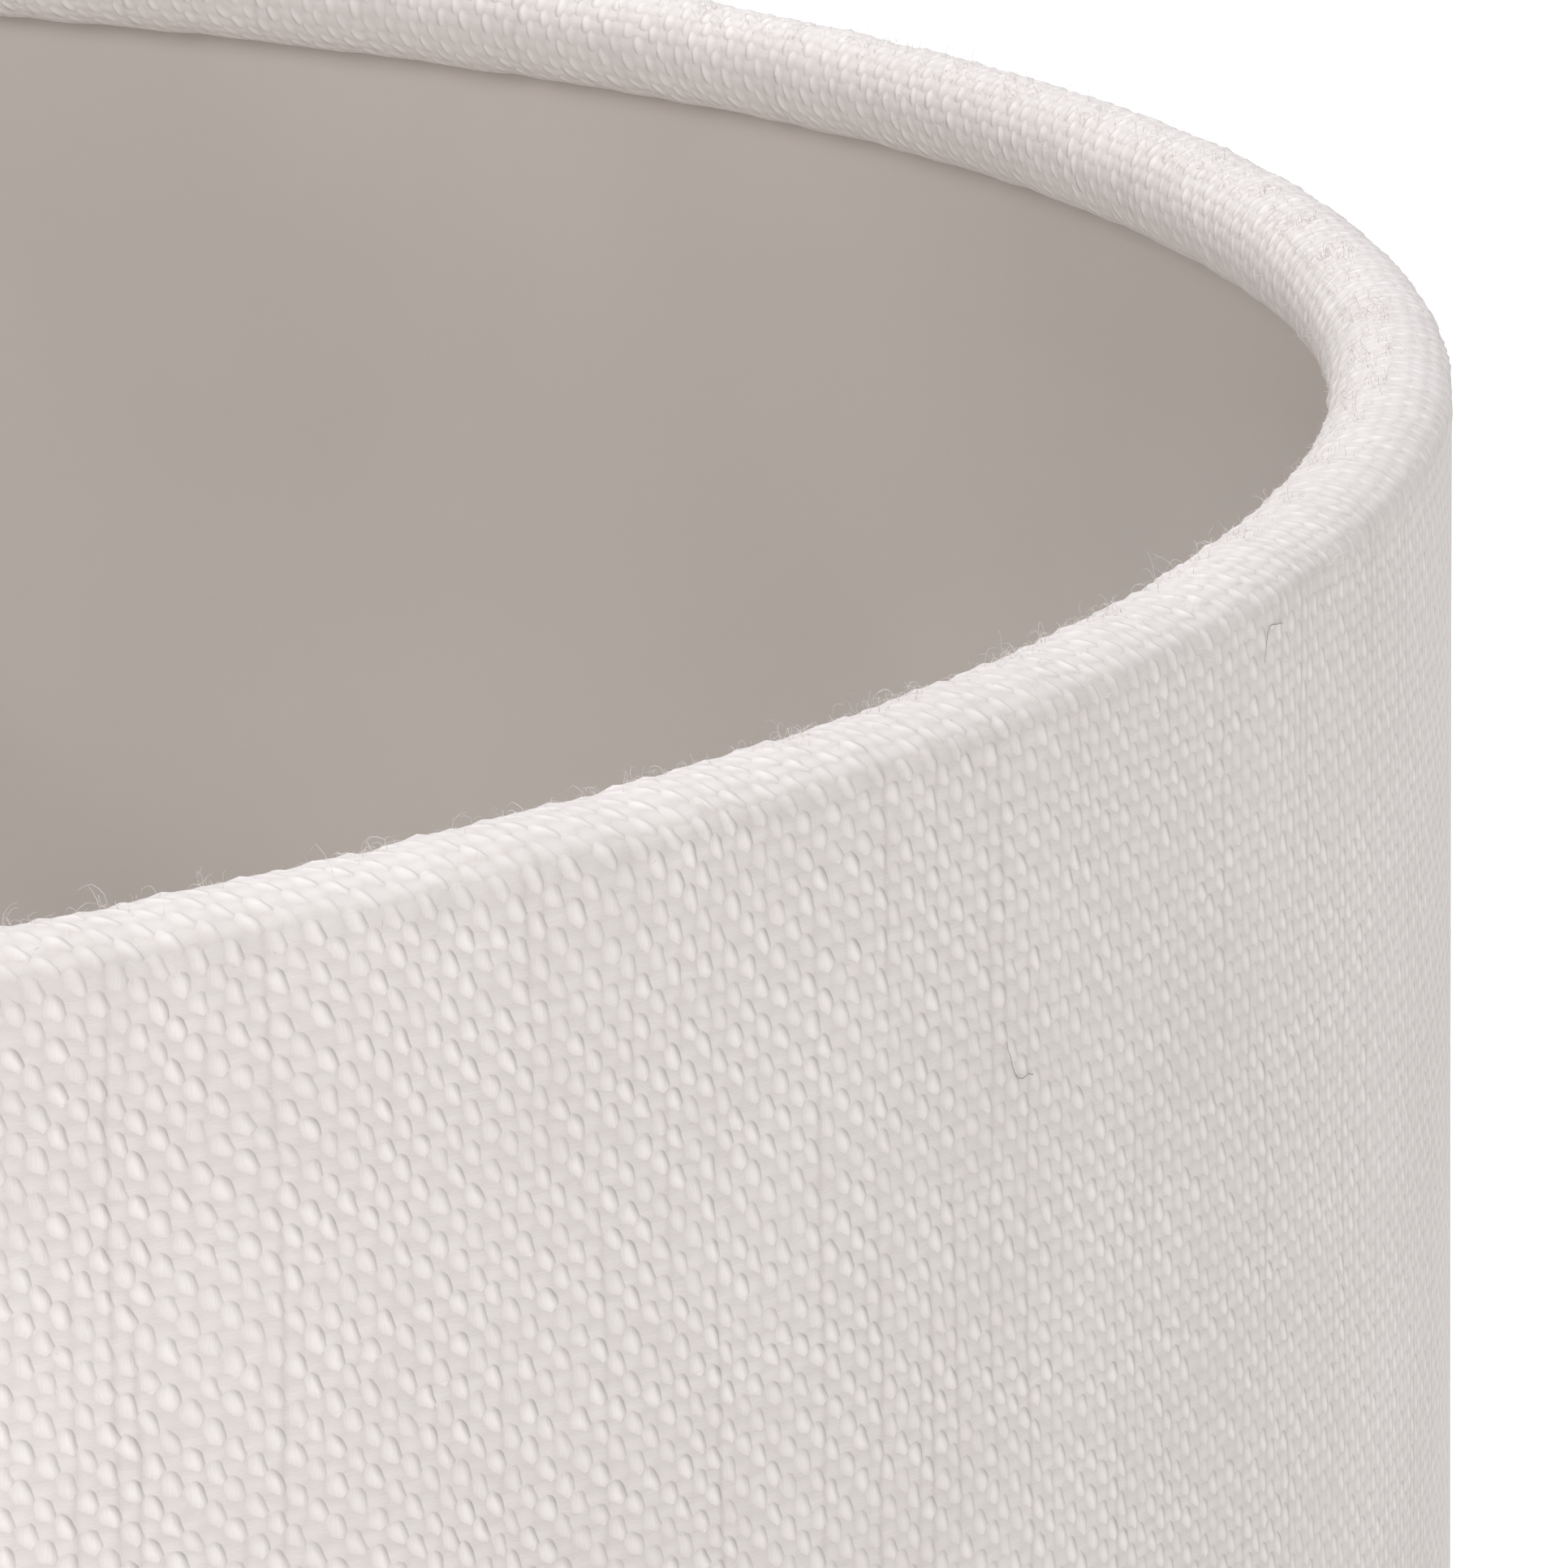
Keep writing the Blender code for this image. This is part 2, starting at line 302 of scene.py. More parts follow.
def linen_weave(colours):
    """Washed linen, plain woven: rows of small leaf-shaped warp floats, with the weft flatter between and
    painted shade down between the threads.
    """
    material, tree, shader = new_material("linen_plain_weave")
    # One unit of the map is one thread: 0.67 mm from warp to warp, and 0.62 mm from weft to weft.
    cloth = add_node(tree, "UVMap", uv_map="Threads")
    slow = {"Vector": cloth, "Scale": 0.5, "Detail": 1.0}
    drift = add_node(tree, "TexNoise", slow, noise_dimensions="2D")
    centred = add_node(tree, "VectorMath", (drift.outputs["Color"], (0.5,) * 3), operation="SUBTRACT")
    sway = add_node(tree, "VectorMath", {0: centred, "Scale": 0.35}, operation="SCALE")
    swayed = add_node(tree, "VectorMath", (cloth, sway), operation="ADD")
    split = add_node(tree, "SeparateXYZ", (swayed,))
    u, v = split.outputs["X"], split.outputs["Y"]
    warp_girth = thread_girth(tree, u, v, 3.7)
    weft_girth = thread_girth(tree, v, u, 11.3)
    warp = floats(tree, u, v, 0.0, (0.76, 0.80), (1.8, 1.9), 0.36, 0.60)
    weft = floats(tree, u, v, 0.5, (0.80, 0.60), (2.0, 1.7), 0.0, 0.0)
    # A float rides as high as the thread under it is thick.
    warp_rise = add_node(tree, "Math", (warp, warp_girth), operation="MULTIPLY")
    warp_top = add_node(tree, "Math", (warp_rise, weft_girth), operation="MULTIPLY")
    weft_rise = add_node(tree, "Math", (weft, 0.42), operation="MULTIPLY")
    weft_top = add_node(tree, "Math", (weft_rise, weft_girth), operation="MULTIPLY")
    woven = add_node(tree, "Math", (warp_top, weft_top, 0.2), operation="SMOOTH_MAX")
    # Flax fibres lie along whichever thread is on top, about a tenth of a thread apart.
    is_warp = add_node(tree, "Math", (warp_top, weft_top), operation="GREATER_THAN")
    grain = []
    for scale in ((8.0, 1.6, 1.0), (1.6, 8.0, 1.0)):
        stretched = add_node(tree, "Mapping", {"Vector": swayed, "Scale": scale})
        streaks = {"Vector": stretched, "Scale": 1.0, "Detail": 3.0}
        grain.append(add_node(tree, "TexNoise", streaks, noise_dimensions="2D"))
    fibres = add_node(tree, "Mix", {0: is_warp, 2: grain[1], 3: grain[0]})
    fine = add_node(tree, "Math", (fibres, 0.10, woven), operation="MULTIPLY_ADD")
    # Here and there two warp threads stand apart: the cloth sinks into a narrow line between them, and the
    # colour there darkens as painted shade.
    gap = thread_gap(tree, u, v)
    sunk = add_node(tree, "Math", (gap, -0.11, fine), operation="MULTIPLY_ADD")
    # Floats are paler than the ground between them, as painted light on the crests and painted shade down in
    # the hollows, with slow patches and fine streaks of the linen's own tone in both.
    depth = add_node(tree, "MapRange", {0: woven, "From Min": 0.0, "From Max": 0.95})
    level = add_node(tree, "Math", (depth, 0.48, 0.45), operation="MULTIPLY_ADD")
    cloudy = {"Vector": cloth, "Scale": 0.05, "Detail": 3.0}
    clouds = add_node(tree, "TexNoise", cloudy, noise_dimensions="2D")
    patch = add_node(tree, "Math", (clouds, 0.5), operation="SUBTRACT")
    mottled = add_node(tree, "Math", (patch, 0.30, level), operation="MULTIPLY_ADD")
    streak = add_node(tree, "Math", (fibres, 0.5), operation="SUBTRACT")
    brushed = add_node(tree, "Math", (streak, 0.18, mottled), operation="MULTIPLY_ADD")
    # The gap between two threads darkens the colour as painted shade.
    tone_with_painted_shade = add_node(tree, "Math", (gap, -0.19, brushed), operation="MULTIPLY_ADD", use_clamp=True)
    dark_tone_and_shade, light = ((*colour, 1) for colour in (colours.linen_dark_and_painted_shade, colours.linen_light))
    tint = add_node(tree, "Mix", {"Factor": tone_with_painted_shade, 6: dark_tone_and_shade, 7: light}, data_type="RGBA")
    bump = add_node(tree, "Bump", {"Height": sunk, "Distance": 0.08 * MM, "Strength": 1.0})
    tree.links.new(tint.outputs[2], shader.inputs["Base Color"])
    tree.links.new(bump.outputs[0], shader.inputs["Normal"])
    shader.inputs["Roughness"].default_value = 0.85
    shader.inputs["Specular IOR Level"].default_value = 0.35
    shader.inputs["Sheen Weight"].default_value = 0.08
    shader.inputs["Sheen Roughness"].default_value = 0.5
    return material


def thread_girth(tree, across, along, seed):
    """How thick each thread is, about 0.75 to 1.15, changing slowly along it."""
    thread = add_node(tree, "Math", (across,), operation="FLOOR")
    row = add_node(tree, "Math", (thread, 7.31), operation="MULTIPLY")
    run = add_node(tree, "Math", (along, 0.045), operation="MULTIPLY")
    place = add_node(tree, "CombineXYZ", (row, run, seed))
    slub = add_node(tree, "TexNoise", {"Vector": place, "Scale": 1.0, "Detail": 2.0})
    feeds = {0: slub, "From Min": 0.3, "From Max": 0.7, "To Min": 0.78, "To Max": 1.14}
    return add_node(tree, "MapRange", feeds)


def thread_gap(tree, u, v):
    """How far apart two warp threads stand, 0 to 1, in a narrow line between them."""
    seam = add_node(tree, "Math", (u,), operation="ROUND")
    aside = add_node(tree, "Math", (u, seam), operation="SUBTRACT")
    beside = add_node(tree, "Math", (aside,), operation="ABSOLUTE")
    row = add_node(tree, "Math", (seam, 5.13), operation="MULTIPLY")
    run = add_node(tree, "Math", (v, 0.03), operation="MULTIPLY")
    place = add_node(tree, "CombineXYZ", (row, run))
    feeds = {"Vector": place, "Scale": 1.0, "Detail": 1.0}
    apart = add_node(tree, "TexNoise", feeds, noise_dimensions="2D")
    wide = add_node(tree, "MapRange", {0: apart, "From Min": 0.57, "From Max": 0.72})
    slit = add_node(tree, "MapRange", {0: beside, "From Min": 0.30, "From Max": 0.0})
    return add_node(tree, "Math", (wide, slit), operation="MULTIPLY")


def floats(tree, u, v, shift, half, power, lean, twist):
    """Domes on every other crossing: half width and height, roundness, slant, throw of the crest."""
    # p and q run along the cloth's diagonals, and each steps by one from one float's middle to the next.
    added = add_node(tree, "Math", (u, v), operation="ADD")
    both = add_node(tree, "Math", (added, 0.5), operation="MULTIPLY")
    p_from = add_node(tree, "Math", (both, shift), operation="ADD")
    p_cell = add_node(tree, "Math", (p_from,), operation="FLOOR")
    p = add_node(tree, "Math", (p_cell, 0.5 - shift), operation="ADD")
    taken = add_node(tree, "Math", (u, v), operation="SUBTRACT")
    apart = add_node(tree, "Math", (taken, 0.5), operation="MULTIPLY")
    q_from = add_node(tree, "Math", (apart, 0.5 - shift), operation="ADD")
    q_cell = add_node(tree, "Math", (q_from,), operation="FLOOR")
    q = add_node(tree, "Math", (q_cell, -shift), operation="SUBTRACT")
    middle_u = add_node(tree, "Math", (p, q), operation="ADD")
    middle_v = add_node(tree, "Math", (p, q), operation="SUBTRACT")
    # Each float strays a little from its crossing, by chance.
    cell = add_node(tree, "CombineXYZ", (p, q, shift))
    chance = add_node(tree, "TexWhiteNoise", {"Vector": cell})
    spread = add_node(tree, "SeparateColor", (chance.outputs["Color"],))
    offsets = []
    for i, (along, middle) in enumerate(((u, middle_u), (v, middle_v))):
        stray = add_node(tree, "Math", (spread.outputs[i], 0.28, -0.14), operation="MULTIPLY_ADD")
        reach = add_node(tree, "Math", (along, middle), operation="SUBTRACT")
        offsets.append(add_node(tree, "Math", (reach, stray), operation="SUBTRACT"))
    slanted = add_node(tree, "Math", (offsets[1], -lean, offsets[0]), operation="MULTIPLY_ADD")
    moved = add_node(tree, "Math", (slanted, 0.30 * twist), operation="ADD")
    across = add_node(tree, "Math", (moved, half[0]), operation="DIVIDE")
    # The crest lies to one side, as the thread's twist throws it, and the painted light on the crest lies to
    # that side with it.
    squared = add_node(tree, "Math", (across, across), operation="MULTIPLY")
    rest = add_node(tree, "Math", (1.0, squared), operation="SUBTRACT")
    left = add_node(tree, "Math", (rest, 0.0), operation="MAXIMUM")
    thrown = add_node(tree, "Math", (left, -twist, across), operation="MULTIPLY_ADD")
    skewed = add_node(tree, "Math", (thrown,), operation="ABSOLUTE")
    level = add_node(tree, "Math", (offsets[1], half[1]), operation="DIVIDE")
    ahead = add_node(tree, "Math", (level,), operation="ABSOLUTE")
    fall_across = add_node(tree, "Math", (skewed, power[0]), operation="POWER")
    fall_ahead = add_node(tree, "Math", (ahead, power[1]), operation="POWER")
    fall = add_node(tree, "Math", (fall_across, fall_ahead), operation="ADD")
    above = add_node(tree, "Math", (1.0, fall), operation="SUBTRACT")
    inside = add_node(tree, "Math", (above, 0.0), operation="MAXIMUM")
    dome = add_node(tree, "Math", (inside, 1.1), operation="POWER")
    height = add_node(tree, "Math", (spread.outputs[2], 0.5, 0.70), operation="MULTIPLY_ADD")
    return add_node(tree, "Math", (dome, height), operation="MULTIPLY")


def shaded(tree, colour, pattern, span, amount):
    """The colour times an amount, low to high, where the pattern goes from the span's low to high."""
    feeds = {0: pattern, "From Min": span[0], "From Max": span[1], "To Min": amount[0], "To Max": amount[1]}
    scale = add_node(tree, "MapRange", feeds)
    feeds = {"Factor": 1.0, 6: (*colour, 1), 7: scale}
    return add_node(tree, "Mix", feeds, data_type="RGBA", blend_type="MULTIPLY")


def flax_fibre(colours):
    """Loose flax fibre: pale, a little glossy, lighter and darker from one fibre to the next."""
    material, tree, shader = new_material("loose_flax_fibre")
    place = add_node(tree, "TexCoord").outputs["Object"]
    # A patch of one tone is about 4 mm across, which is more than a fibre's length.
    patches = add_node(tree, "TexNoise", {"Vector": place, "Scale": 260.0, "Detail": 1.0})
    bleached = add_node(tree, "Math", (patches, 0.5, 0.5), operation="MULTIPLY_ADD")
    dark_tone_and_shade, light = ((*colour, 1) for colour in (colours.linen_dark_and_painted_shade, colours.linen_light))
    tint = add_node(tree, "Mix", {"Factor": bleached, 6: dark_tone_and_shade, 7: light}, data_type="RGBA")
    tree.links.new(tint.outputs[2], shader.inputs["Base Color"])
    shader.inputs["Roughness"].default_value = 0.6
    return material


def flax_stem(colours):
    """Specks of flax stem left in the yarn: grey-brown, dull, paler where the bark has worn off."""
    material, tree, shader = new_material("flax_stem_fleck")
    place = add_node(tree, "TexCoord").outputs["Object"]
    # Worn patches are about 0.7 mm across.
    patches = add_node(tree, "TexNoise", {"Vector": place, "Scale": 1500.0, "Detail": 1.0})
    worn = add_node(tree, "Math", (patches, 0.35), operation="MULTIPLY")
    dark, pale = ((*colour, 1) for colour in (colours.stem, colours.linen_dark_and_painted_shade))
    tint = add_node(tree, "Mix", {"Factor": worn, 6: dark, 7: pale}, data_type="RGBA")
    tree.links.new(tint.outputs[2], shader.inputs["Base Color"])
    shader.inputs["Roughness"].default_value = 0.8
    return material


def liner_film(colours):
    """Calendered PVC film: smooth and satin, faintly clouded, a little wavy from being rolled by hand."""
    material, tree, shader = new_material("calendered_pvc_film")
    place = add_node(tree, "TexCoord").outputs["Object"]
    # Clouds are about 26 mm across, and the calender's grain about 1.4 mm.
    clouds = add_node(tree, "TexNoise", {"Vector": place, "Scale": 38.0, "Detail": 2.0})
    peel = add_node(tree, "TexNoise", {"Vector": place, "Scale": 700.0, "Detail": 2.0})
    # The colour is greyer than white PVC, partly as painted shade for the inside of the drum; the clouds are
    # the film's own.
    tint = shaded(tree, colours.liner, clouds, (0.3, 0.7), (0.94, 1.03))
    satin = add_node(tree, "MapRange", {0: peel, "To Min": 0.42, "To Max": 0.58})
    waves = add_node(tree, "Math", (clouds, 6.0, peel), operation="MULTIPLY_ADD")
    bump = add_node(tree, "Bump", {"Height": waves, "Distance": 0.012 * MM, "Strength": 0.6})
    tree.links.new(tint.outputs[2], shader.inputs["Base Color"])
    tree.links.new(satin.outputs[0], shader.inputs["Roughness"])
    tree.links.new(bump.outputs[0], shader.inputs["Normal"])
    return material


def coated_steel(colours):
    """White powder-coated steel: thick, soft-edged, satin, with the fine orange peel of a baked coat."""
    material, tree, shader = new_material("powder_coated_steel")
    place = add_node(tree, "TexCoord").outputs["Object"]
    # Orange peel is about 0.9 mm across, and the thicker and thinner coat about 6 mm.
    peel = add_node(tree, "TexNoise", {"Vector": place, "Scale": 1100.0, "Detail": 2.0})
    dust = add_node(tree, "TexNoise", {"Vector": place, "Scale": 160.0, "Detail": 4.0})
    tint = shaded(tree, colours.enamel, dust, (0.3, 0.7), (0.95, 1.02))
    satin = add_node(tree, "MapRange", {0: dust, "To Min": 0.3, "To Max": 0.46})
    bump = add_node(tree, "Bump", {"Height": peel, "Distance": 0.012 * MM, "Strength": 0.5})
    tree.links.new(tint.outputs[2], shader.inputs["Base Color"])
    tree.links.new(satin.outputs[0], shader.inputs["Roughness"])
    tree.links.new(bump.outputs[0], shader.inputs["Normal"])
    return material


def moulded_polypropylene(colours):
    """Moulded polypropylene: milky, satin from a spark-eroded mould, with faint flow clouds."""
    material, tree, shader = new_material("moulded_polypropylene")
    place = add_node(tree, "TexCoord").outputs["Object"]
    # The mould's grain is about 0.4 mm across, and the flow clouds about 11 mm.
    grain = add_node(tree, "TexNoise", {"Vector": place, "Scale": 2400.0, "Detail": 2.0})
    flow = add_node(tree, "TexNoise", {"Vector": place, "Scale": 90.0, "Detail": 3.0})
    tint = shaded(tree, colours.polypropylene, flow, (0.3, 0.7), (0.95, 1.02))
    satin = add_node(tree, "MapRange", {0: grain, "To Min": 0.4, "To Max": 0.55})
    bump = add_node(tree, "Bump", {"Height": grain, "Distance": 0.015 * MM, "Strength": 0.5})
    tree.links.new(tint.outputs[2], shader.inputs["Base Color"])
    tree.links.new(satin.outputs[0], shader.inputs["Roughness"])
    tree.links.new(bump.outputs[0], shader.inputs["Normal"])
    shader.inputs["Subsurface Weight"].default_value = 0.15
    shader.inputs["Subsurface Scale"].default_value = 1.0 * MM
    return material


def double_sided_tape(colours):
    """Double-sided tape: clear film with a yellowish glue that shows small trapped bubbles."""
    material, tree, shader = new_material("double_sided_tape")
    place = add_node(tree, "TexCoord").outputs["Object"]
    # Bubbles lie about 1.1 mm apart.
    bubbles = add_node(tree, "TexVoronoi", {"Vector": place, "Scale": 900.0})
    tint = shaded(tree, colours.tape, bubbles, (0.0, 0.3), (0.88, 1.0))
    bump = add_node(tree, "Bump", {"Height": bubbles, "Distance": 0.02 * MM, "Strength": 0.5})
    tree.links.new(tint.outputs[2], shader.inputs["Base Color"])
    tree.links.new(bump.outputs[0], shader.inputs["Normal"])
    shader.inputs["Roughness"].default_value = 0.25
    return material


# Linen cover --------------------------------------------------------------------------------------


def cover_section(sizes):
    """The cloth's outer line from hem to hem: distances along it, (radius, height) and the way out."""
    steps = 240
    wrap = sizes.hem_wrap
    soft = 0.07 * MM
    line = []
    for i in range(steps + 1):
        turn = wrap * (1 - i / steps)
        out, up = math.cos(turn), math.sin(turn)
        across, above = ROLL_RADIUS * out, ROLL_RADIUS * up
        if turn < math.pi / 2:
            # The flatter top meets the upright wall at a shoulder, rounded by a soft minimum.
            spare = (ROLL_RADIUS - across * sizes.shoulder) / soft
            across = ROLL_RADIUS - soft * math.log1p(math.exp(min(spare, 60)))
        line.append((ROLL_CENTRE + across, TOP_ROLL_Z + above))
    middle = SHADE_HEIGHT / 2
    mirrored = [(radius, 2 * middle - height) for radius, height in reversed(line)]
    line = np.array(line + mirrored)
    steps_taken = np.linalg.norm(np.diff(line, axis=0), axis=1)
    length = np.concatenate([[0], np.cumsum(steps_taken)])
    ahead = np.gradient(line, axis=0)
    ahead /= np.linalg.norm(ahead, axis=1)[:, None]
    outward = np.stack([-ahead[:, 1], ahead[:, 0]], axis=1)
    return length, line, outward


def cover_rows(sizes, length):
    """The mesh's rows as (distance along the cloth, columns): close on the top roll, wide on the wall."""
    fine = 2 * sizes.warp_threads
    pitch = sizes.weft_pitch
    roll = ROLL_RADIUS * sizes.hem_wrap
    hidden = ROLL_RADIUS * (sizes.hem_wrap - math.radians(205))
    total = length[-1]
    stretches = (
        (0, hidden, pitch, fine // 2),
        (hidden, roll + 0.8 * pitch, pitch / 2, fine),
        (roll + 0.8 * pitch, roll + 7 * pitch, pitch, fine // 2),
        (roll + 7 * pitch, total - roll - 7 * pitch, 7.2 * pitch, fine // 4),
        (total - roll - 7 * pitch, total - roll, 2 * pitch, fine // 4),
        (total - roll, total, pitch, fine // 4),
    )
    rows = []
    for start, end, step, columns in stretches:
        count = max(1, round((end - start) / step))
        rows += [(start + (end - start) * i / count, columns) for i in range(count)]
    rows.append((total, fine // 4))
    return rows


def cover_columns(count, threads):
    """Thread numbers of a row's columns, from the cover's folded edge. The last is close to the fold."""
    places = np.arange(count) * threads / count
    places[-1] = threads - 0.15
    return places


def lap_rise(thread, sizes):
    """The lapped edge stands off the cloth at the fold and settles on to the drum further on."""
    settling = np.clip(thread / 55, 0, 1)
    return sizes.lap_height * (1 - settling * settling * (3 - 2 * settling))


def hem_notch(angle):
    """How much of the hem is cut away at this angle: 1 at a spider arm, 0 away from it."""
    nearest = np.full(angle.shape, 1.0)
    for arm in ARM_ANGLES:
        turn = np.abs((angle - arm + math.pi) % TAU - math.pi)
        nearest = np.minimum(nearest, turn * ROLL_CENTRE)
    edge = np.clip((nearest - 1.7 * MM) / (0.8 * MM), 0, 1)
    return 1 - edge


def weave_height(thread, pick):
    """Relief of the cloth, up to 1 on the warp's floats and less on the weft's."""
    crossing = np.sin(math.pi * thread) * np.sin(math.pi * pick)
    return 0.6 * np.abs(crossing) + 0.4 * crossing


def cover_layout(sizes, length):
    """The mesh's rows as (distance along the cloth, columns, depth in it): outside, then back inside."""
    threads = sizes.warp_threads
    arc = ROLL_RADIUS * sizes.hem_wrap
    back = np.concatenate(
        [
            np.linspace(length[-1], length[-1] - arc, 11),
            np.linspace(length[-1] - arc, arc, 7)[1:],
            np.linspace(arc, 0, 11)[1:],
        ]
    )
    rows = [(distance, columns, 0.0) for distance, columns in cover_rows(sizes, length)]
    rows.append((length[-1], threads // 2, sizes.cloth_thickness / 2))
    rows += [(distance, threads // 4, sizes.cloth_thickness) for distance in back]
    rows.append((0.0, threads // 2, sizes.cloth_thickness / 2))
    return rows


def cloth_rise(sizes, length, angle, s, thread, pick, slubs, depth):
    """How far a row's points stand out of the smooth cloth: floats and slubs on top, lumps and the lap."""
    arc = ROLL_RADIUS * sizes.hem_wrap
    roll_share = np.clip((arc + 2 * sizes.weft_pitch - s) / (3 * sizes.weft_pitch), 0, 1)
    low_share = np.clip((s - length[-1] + arc) / (3 * sizes.weft_pitch), 0, 1)
    rise = np.zeros(len(s))
    if depth == 0:
        slub = 1 + 0.25 * slubs[np.floor(thread).astype(int)]
        rise += sizes.weave_relief * weave_height(thread, pick) * slub * roll_share
        rise -= sizes.weave_relief * 0.5 * roll_share
    lumps = wander(angle, s, 2 * MM, 21, (61, 83, 107, 139, 173, 211))
    swells = wander(angle, s, 60 * MM, 22, (2, 3, 5, 7, 11))
    rise += 0.05 * MM * lumps * np.maximum(roll_share, low_share) + 0.10 * MM * swells
    rise += lap_rise(thread, sizes) * (1.0 if depth == 0 else 0.0) - depth
    return rise


def place_row(sizes, section, row, slubs):
    """One row's points, and each one's thread and pick. The threads sway, except at the fold and the hems."""
    length, line, outward = section
    distance, columns, depth = row
    threads = sizes.warp_threads
    hem_end = ROLL_RADIUS * (sizes.hem_wrap - math.radians(196))
    thread = cover_columns(columns, threads)
    angle = SEAM_ANGLE + (thread / threads) * TAU - COVER_LAP / 2 / SHADE_RADIUS
    away = np.clip(np.minimum(thread, threads - thread) / 20, 0, 1)
    sway = 0.32 * wander(angle, distance, 5 * MM, 23, (23, 31, 41, 53, 67, 79)) * away
    rise_and_fall = 0.32 * wander(angle, distance, 4 * MM, 24, (7, 13, 19, 29, 37)) * away
    cut = hem_notch(angle) if distance < hem_end else np.zeros(columns)
    s = distance + cut * (hem_end - distance)
    inside = min(distance, length[-1] - distance) > 2 * MM
    s = s + rise_and_fall * sizes.weft_pitch * inside * (cut == 0)
    angle = angle + sway * TAU / threads
    pick = np.full(columns, distance / sizes.weft_pitch) if depth == 0 else s / sizes.weft_pitch
    rise = cloth_rise(sizes, length, angle, s, thread, pick, slubs, depth)
    radius = np.interp(s, length, line[:, 0]) + np.interp(s, length, outward[:, 0]) * rise
    height = np.interp(s, length, line[:, 1]) + np.interp(s, length, outward[:, 1]) * rise
    points = np.stack([radius * np.cos(angle), radius * np.sin(angle), np.maximum(height, -PRESSED)], axis=1)
    return points, thread, pick


def build_cover_mesh(sizes):
    """The cover's points and faces, and each point's thread and pick."""
    section = cover_section(sizes)
    rows = cover_layout(sizes, section[0])
    slubs = np.random.default_rng(5).normal(0, 1, sizes.warp_threads + 1)
    points, threads, picks = zip(*(place_row(sizes, section, row, slubs) for row in rows))
    counts = [columns for _, columns, _ in rows]
    starts = np.concatenate([[0], np.cumsum(counts)]).tolist()
    faces = []
    for i, count in enumerate(counts):
        j = (i + 1) % len(rows)
        faces += bridge_rows(starts[i], count, starts[j], counts[j])
    return np.concatenate(points), faces, np.concatenate(threads), np.concatenate(picks)


def bridge_rows(start_a, count_a, start_b, count_b):
    """Faces between two closed rows. Where one has twice the columns, each gap takes three triangles."""
    if count_a == count_b:
        return [
            (start_a + k, start_b + k, start_b + (k + 1) % count_b, start_a + (k + 1) % count_a)
            for k in range(count_a)
        ]
    flip = count_a < count_b
    if flip:
        start_a, count_a, start_b, count_b = start_b, count_b, start_a, count_a
    if count_a != 2 * count_b:
        raise RuntimeError(f"rows of {count_a} and {count_b} columns don't join")
    faces = []
    for k in range(count_b):
        a0, a1, a2 = (start_a + (2 * k + i) % count_a for i in range(3))
        b0, b1 = start_b + k, start_b + (k + 1) % count_b
        faces += [(a0, b0, a1), (a1, b0, b1), (a1, b1, a2)]
    return [tuple(reversed(face)) for face in faces] if flip else faces


def make_cover(sizes, colours):
    """The linen cover, with its thread and pick numbers as a UV map."""
    places, faces, thread, pick = build_cover_mesh(sizes)
    mesh = bpy.data.meshes.new("linen_cover")
    mesh.from_pydata([tuple(p) for p in places], [], faces)
    mesh.validate()
    layer = mesh.uv_layers.new(name="Threads")
    corners = np.empty(len(mesh.loops), np.int32)
    mesh.loops.foreach_get("vertex_index", corners)
    u, v = thread[corners], pick[corners]
    face_of = np.repeat(np.arange(len(mesh.polygons)), [p.loop_total for p in mesh.polygons])
    widest = np.zeros(len(mesh.polygons))
    np.maximum.at(widest, face_of, u)
    u = np.where(widest[face_of] - u > sizes.warp_threads / 2, u + sizes.warp_threads, u)
    layer.data.foreach_set("uv", np.stack([u, v], axis=1).astype(np.float32).ravel())
    mesh.shade_smooth()
    cover = bpy.data.objects.new("linen_cover", mesh)
    bpy.context.scene.collection.objects.link(cover)
    settle(cover, "linen_cover", linen_weave(colours), "shade", "linen", "fabric_cover")
    return cover


def fibre_path(rng, sizes, section, place):
    """One loose fibre's points: it starts just inside the cloth and curls away from it."""
    length, line, outward = section
    arc = ROLL_RADIUS * sizes.hem_wrap
    visible = ROLL_RADIUS * (sizes.hem_wrap - math.radians(190))
    crest = ROLL_RADIUS * (sizes.hem_wrap - math.radians(100))
    stretch = {
        "rim": (visible, arc),
        "crest": (crest - 1.3 * MM, crest + 0.5 * MM),
        "wall": (arc, length[-1] - arc),
        "foot": (length[-1] - arc, length[-1] - visible),
    }
    s = rng.uniform(*stretch[place])
    if place == "crest":
        # On the crest they stand in tufts, a little over a millimetre apart and unevenly spaced.
        tufts = 520
        tuft = rng.integers(tufts)
        angle = TAU * (tuft + 0.5 * math.sin(5 * tuft)) / tufts + rng.normal(0, 0.32 * MM) / SHADE_RADIUS
    else:
        angle = rng.uniform(0, TAU)
    radius, height = (np.interp(s, length, line[:, i]) for i in range(2))
    out_r, out_z = (np.interp(s, length, outward[:, i]) for i in range(2))
    radial = np.array([math.cos(angle), math.sin(angle), 0.0])
    normal = radial * out_r + np.array([0, 0, out_z])
    along = np.array([-math.sin(angle), math.cos(angle), 0.0])
    lean = rng.uniform(0, TAU)
    aside = math.cos(lean) * along + math.sin(lean) * np.cross(normal, along)
    root = radial * radius + np.array([0, 0, height]) - normal * 0.06 * MM
    if place == "crest":
        reach = min(rng.gamma(3.0, 0.20), 1.4) * MM
        heading = normal * rng.uniform(0.5, 1.0) + aside * rng.uniform(0.2, 1.0)
        count, curl = 7, 4.6
    else:
        reach = min(rng.gamma(2.0, 0.17), 1.5) * MM * (0.6 if place == "wall" else 1.0)
        heading = normal * rng.uniform(0.2, 1.0) + aside * rng.uniform(0.3, 1.2)
        count, curl = 5, 3.4
    heading /= np.linalg.norm(heading)
    points = curl_path(rng, root, heading, aside + 0.3 * normal, reach, count, curl)
    points[:, 2] = np.maximum(points[:, 2], -PRESSED)
    return points


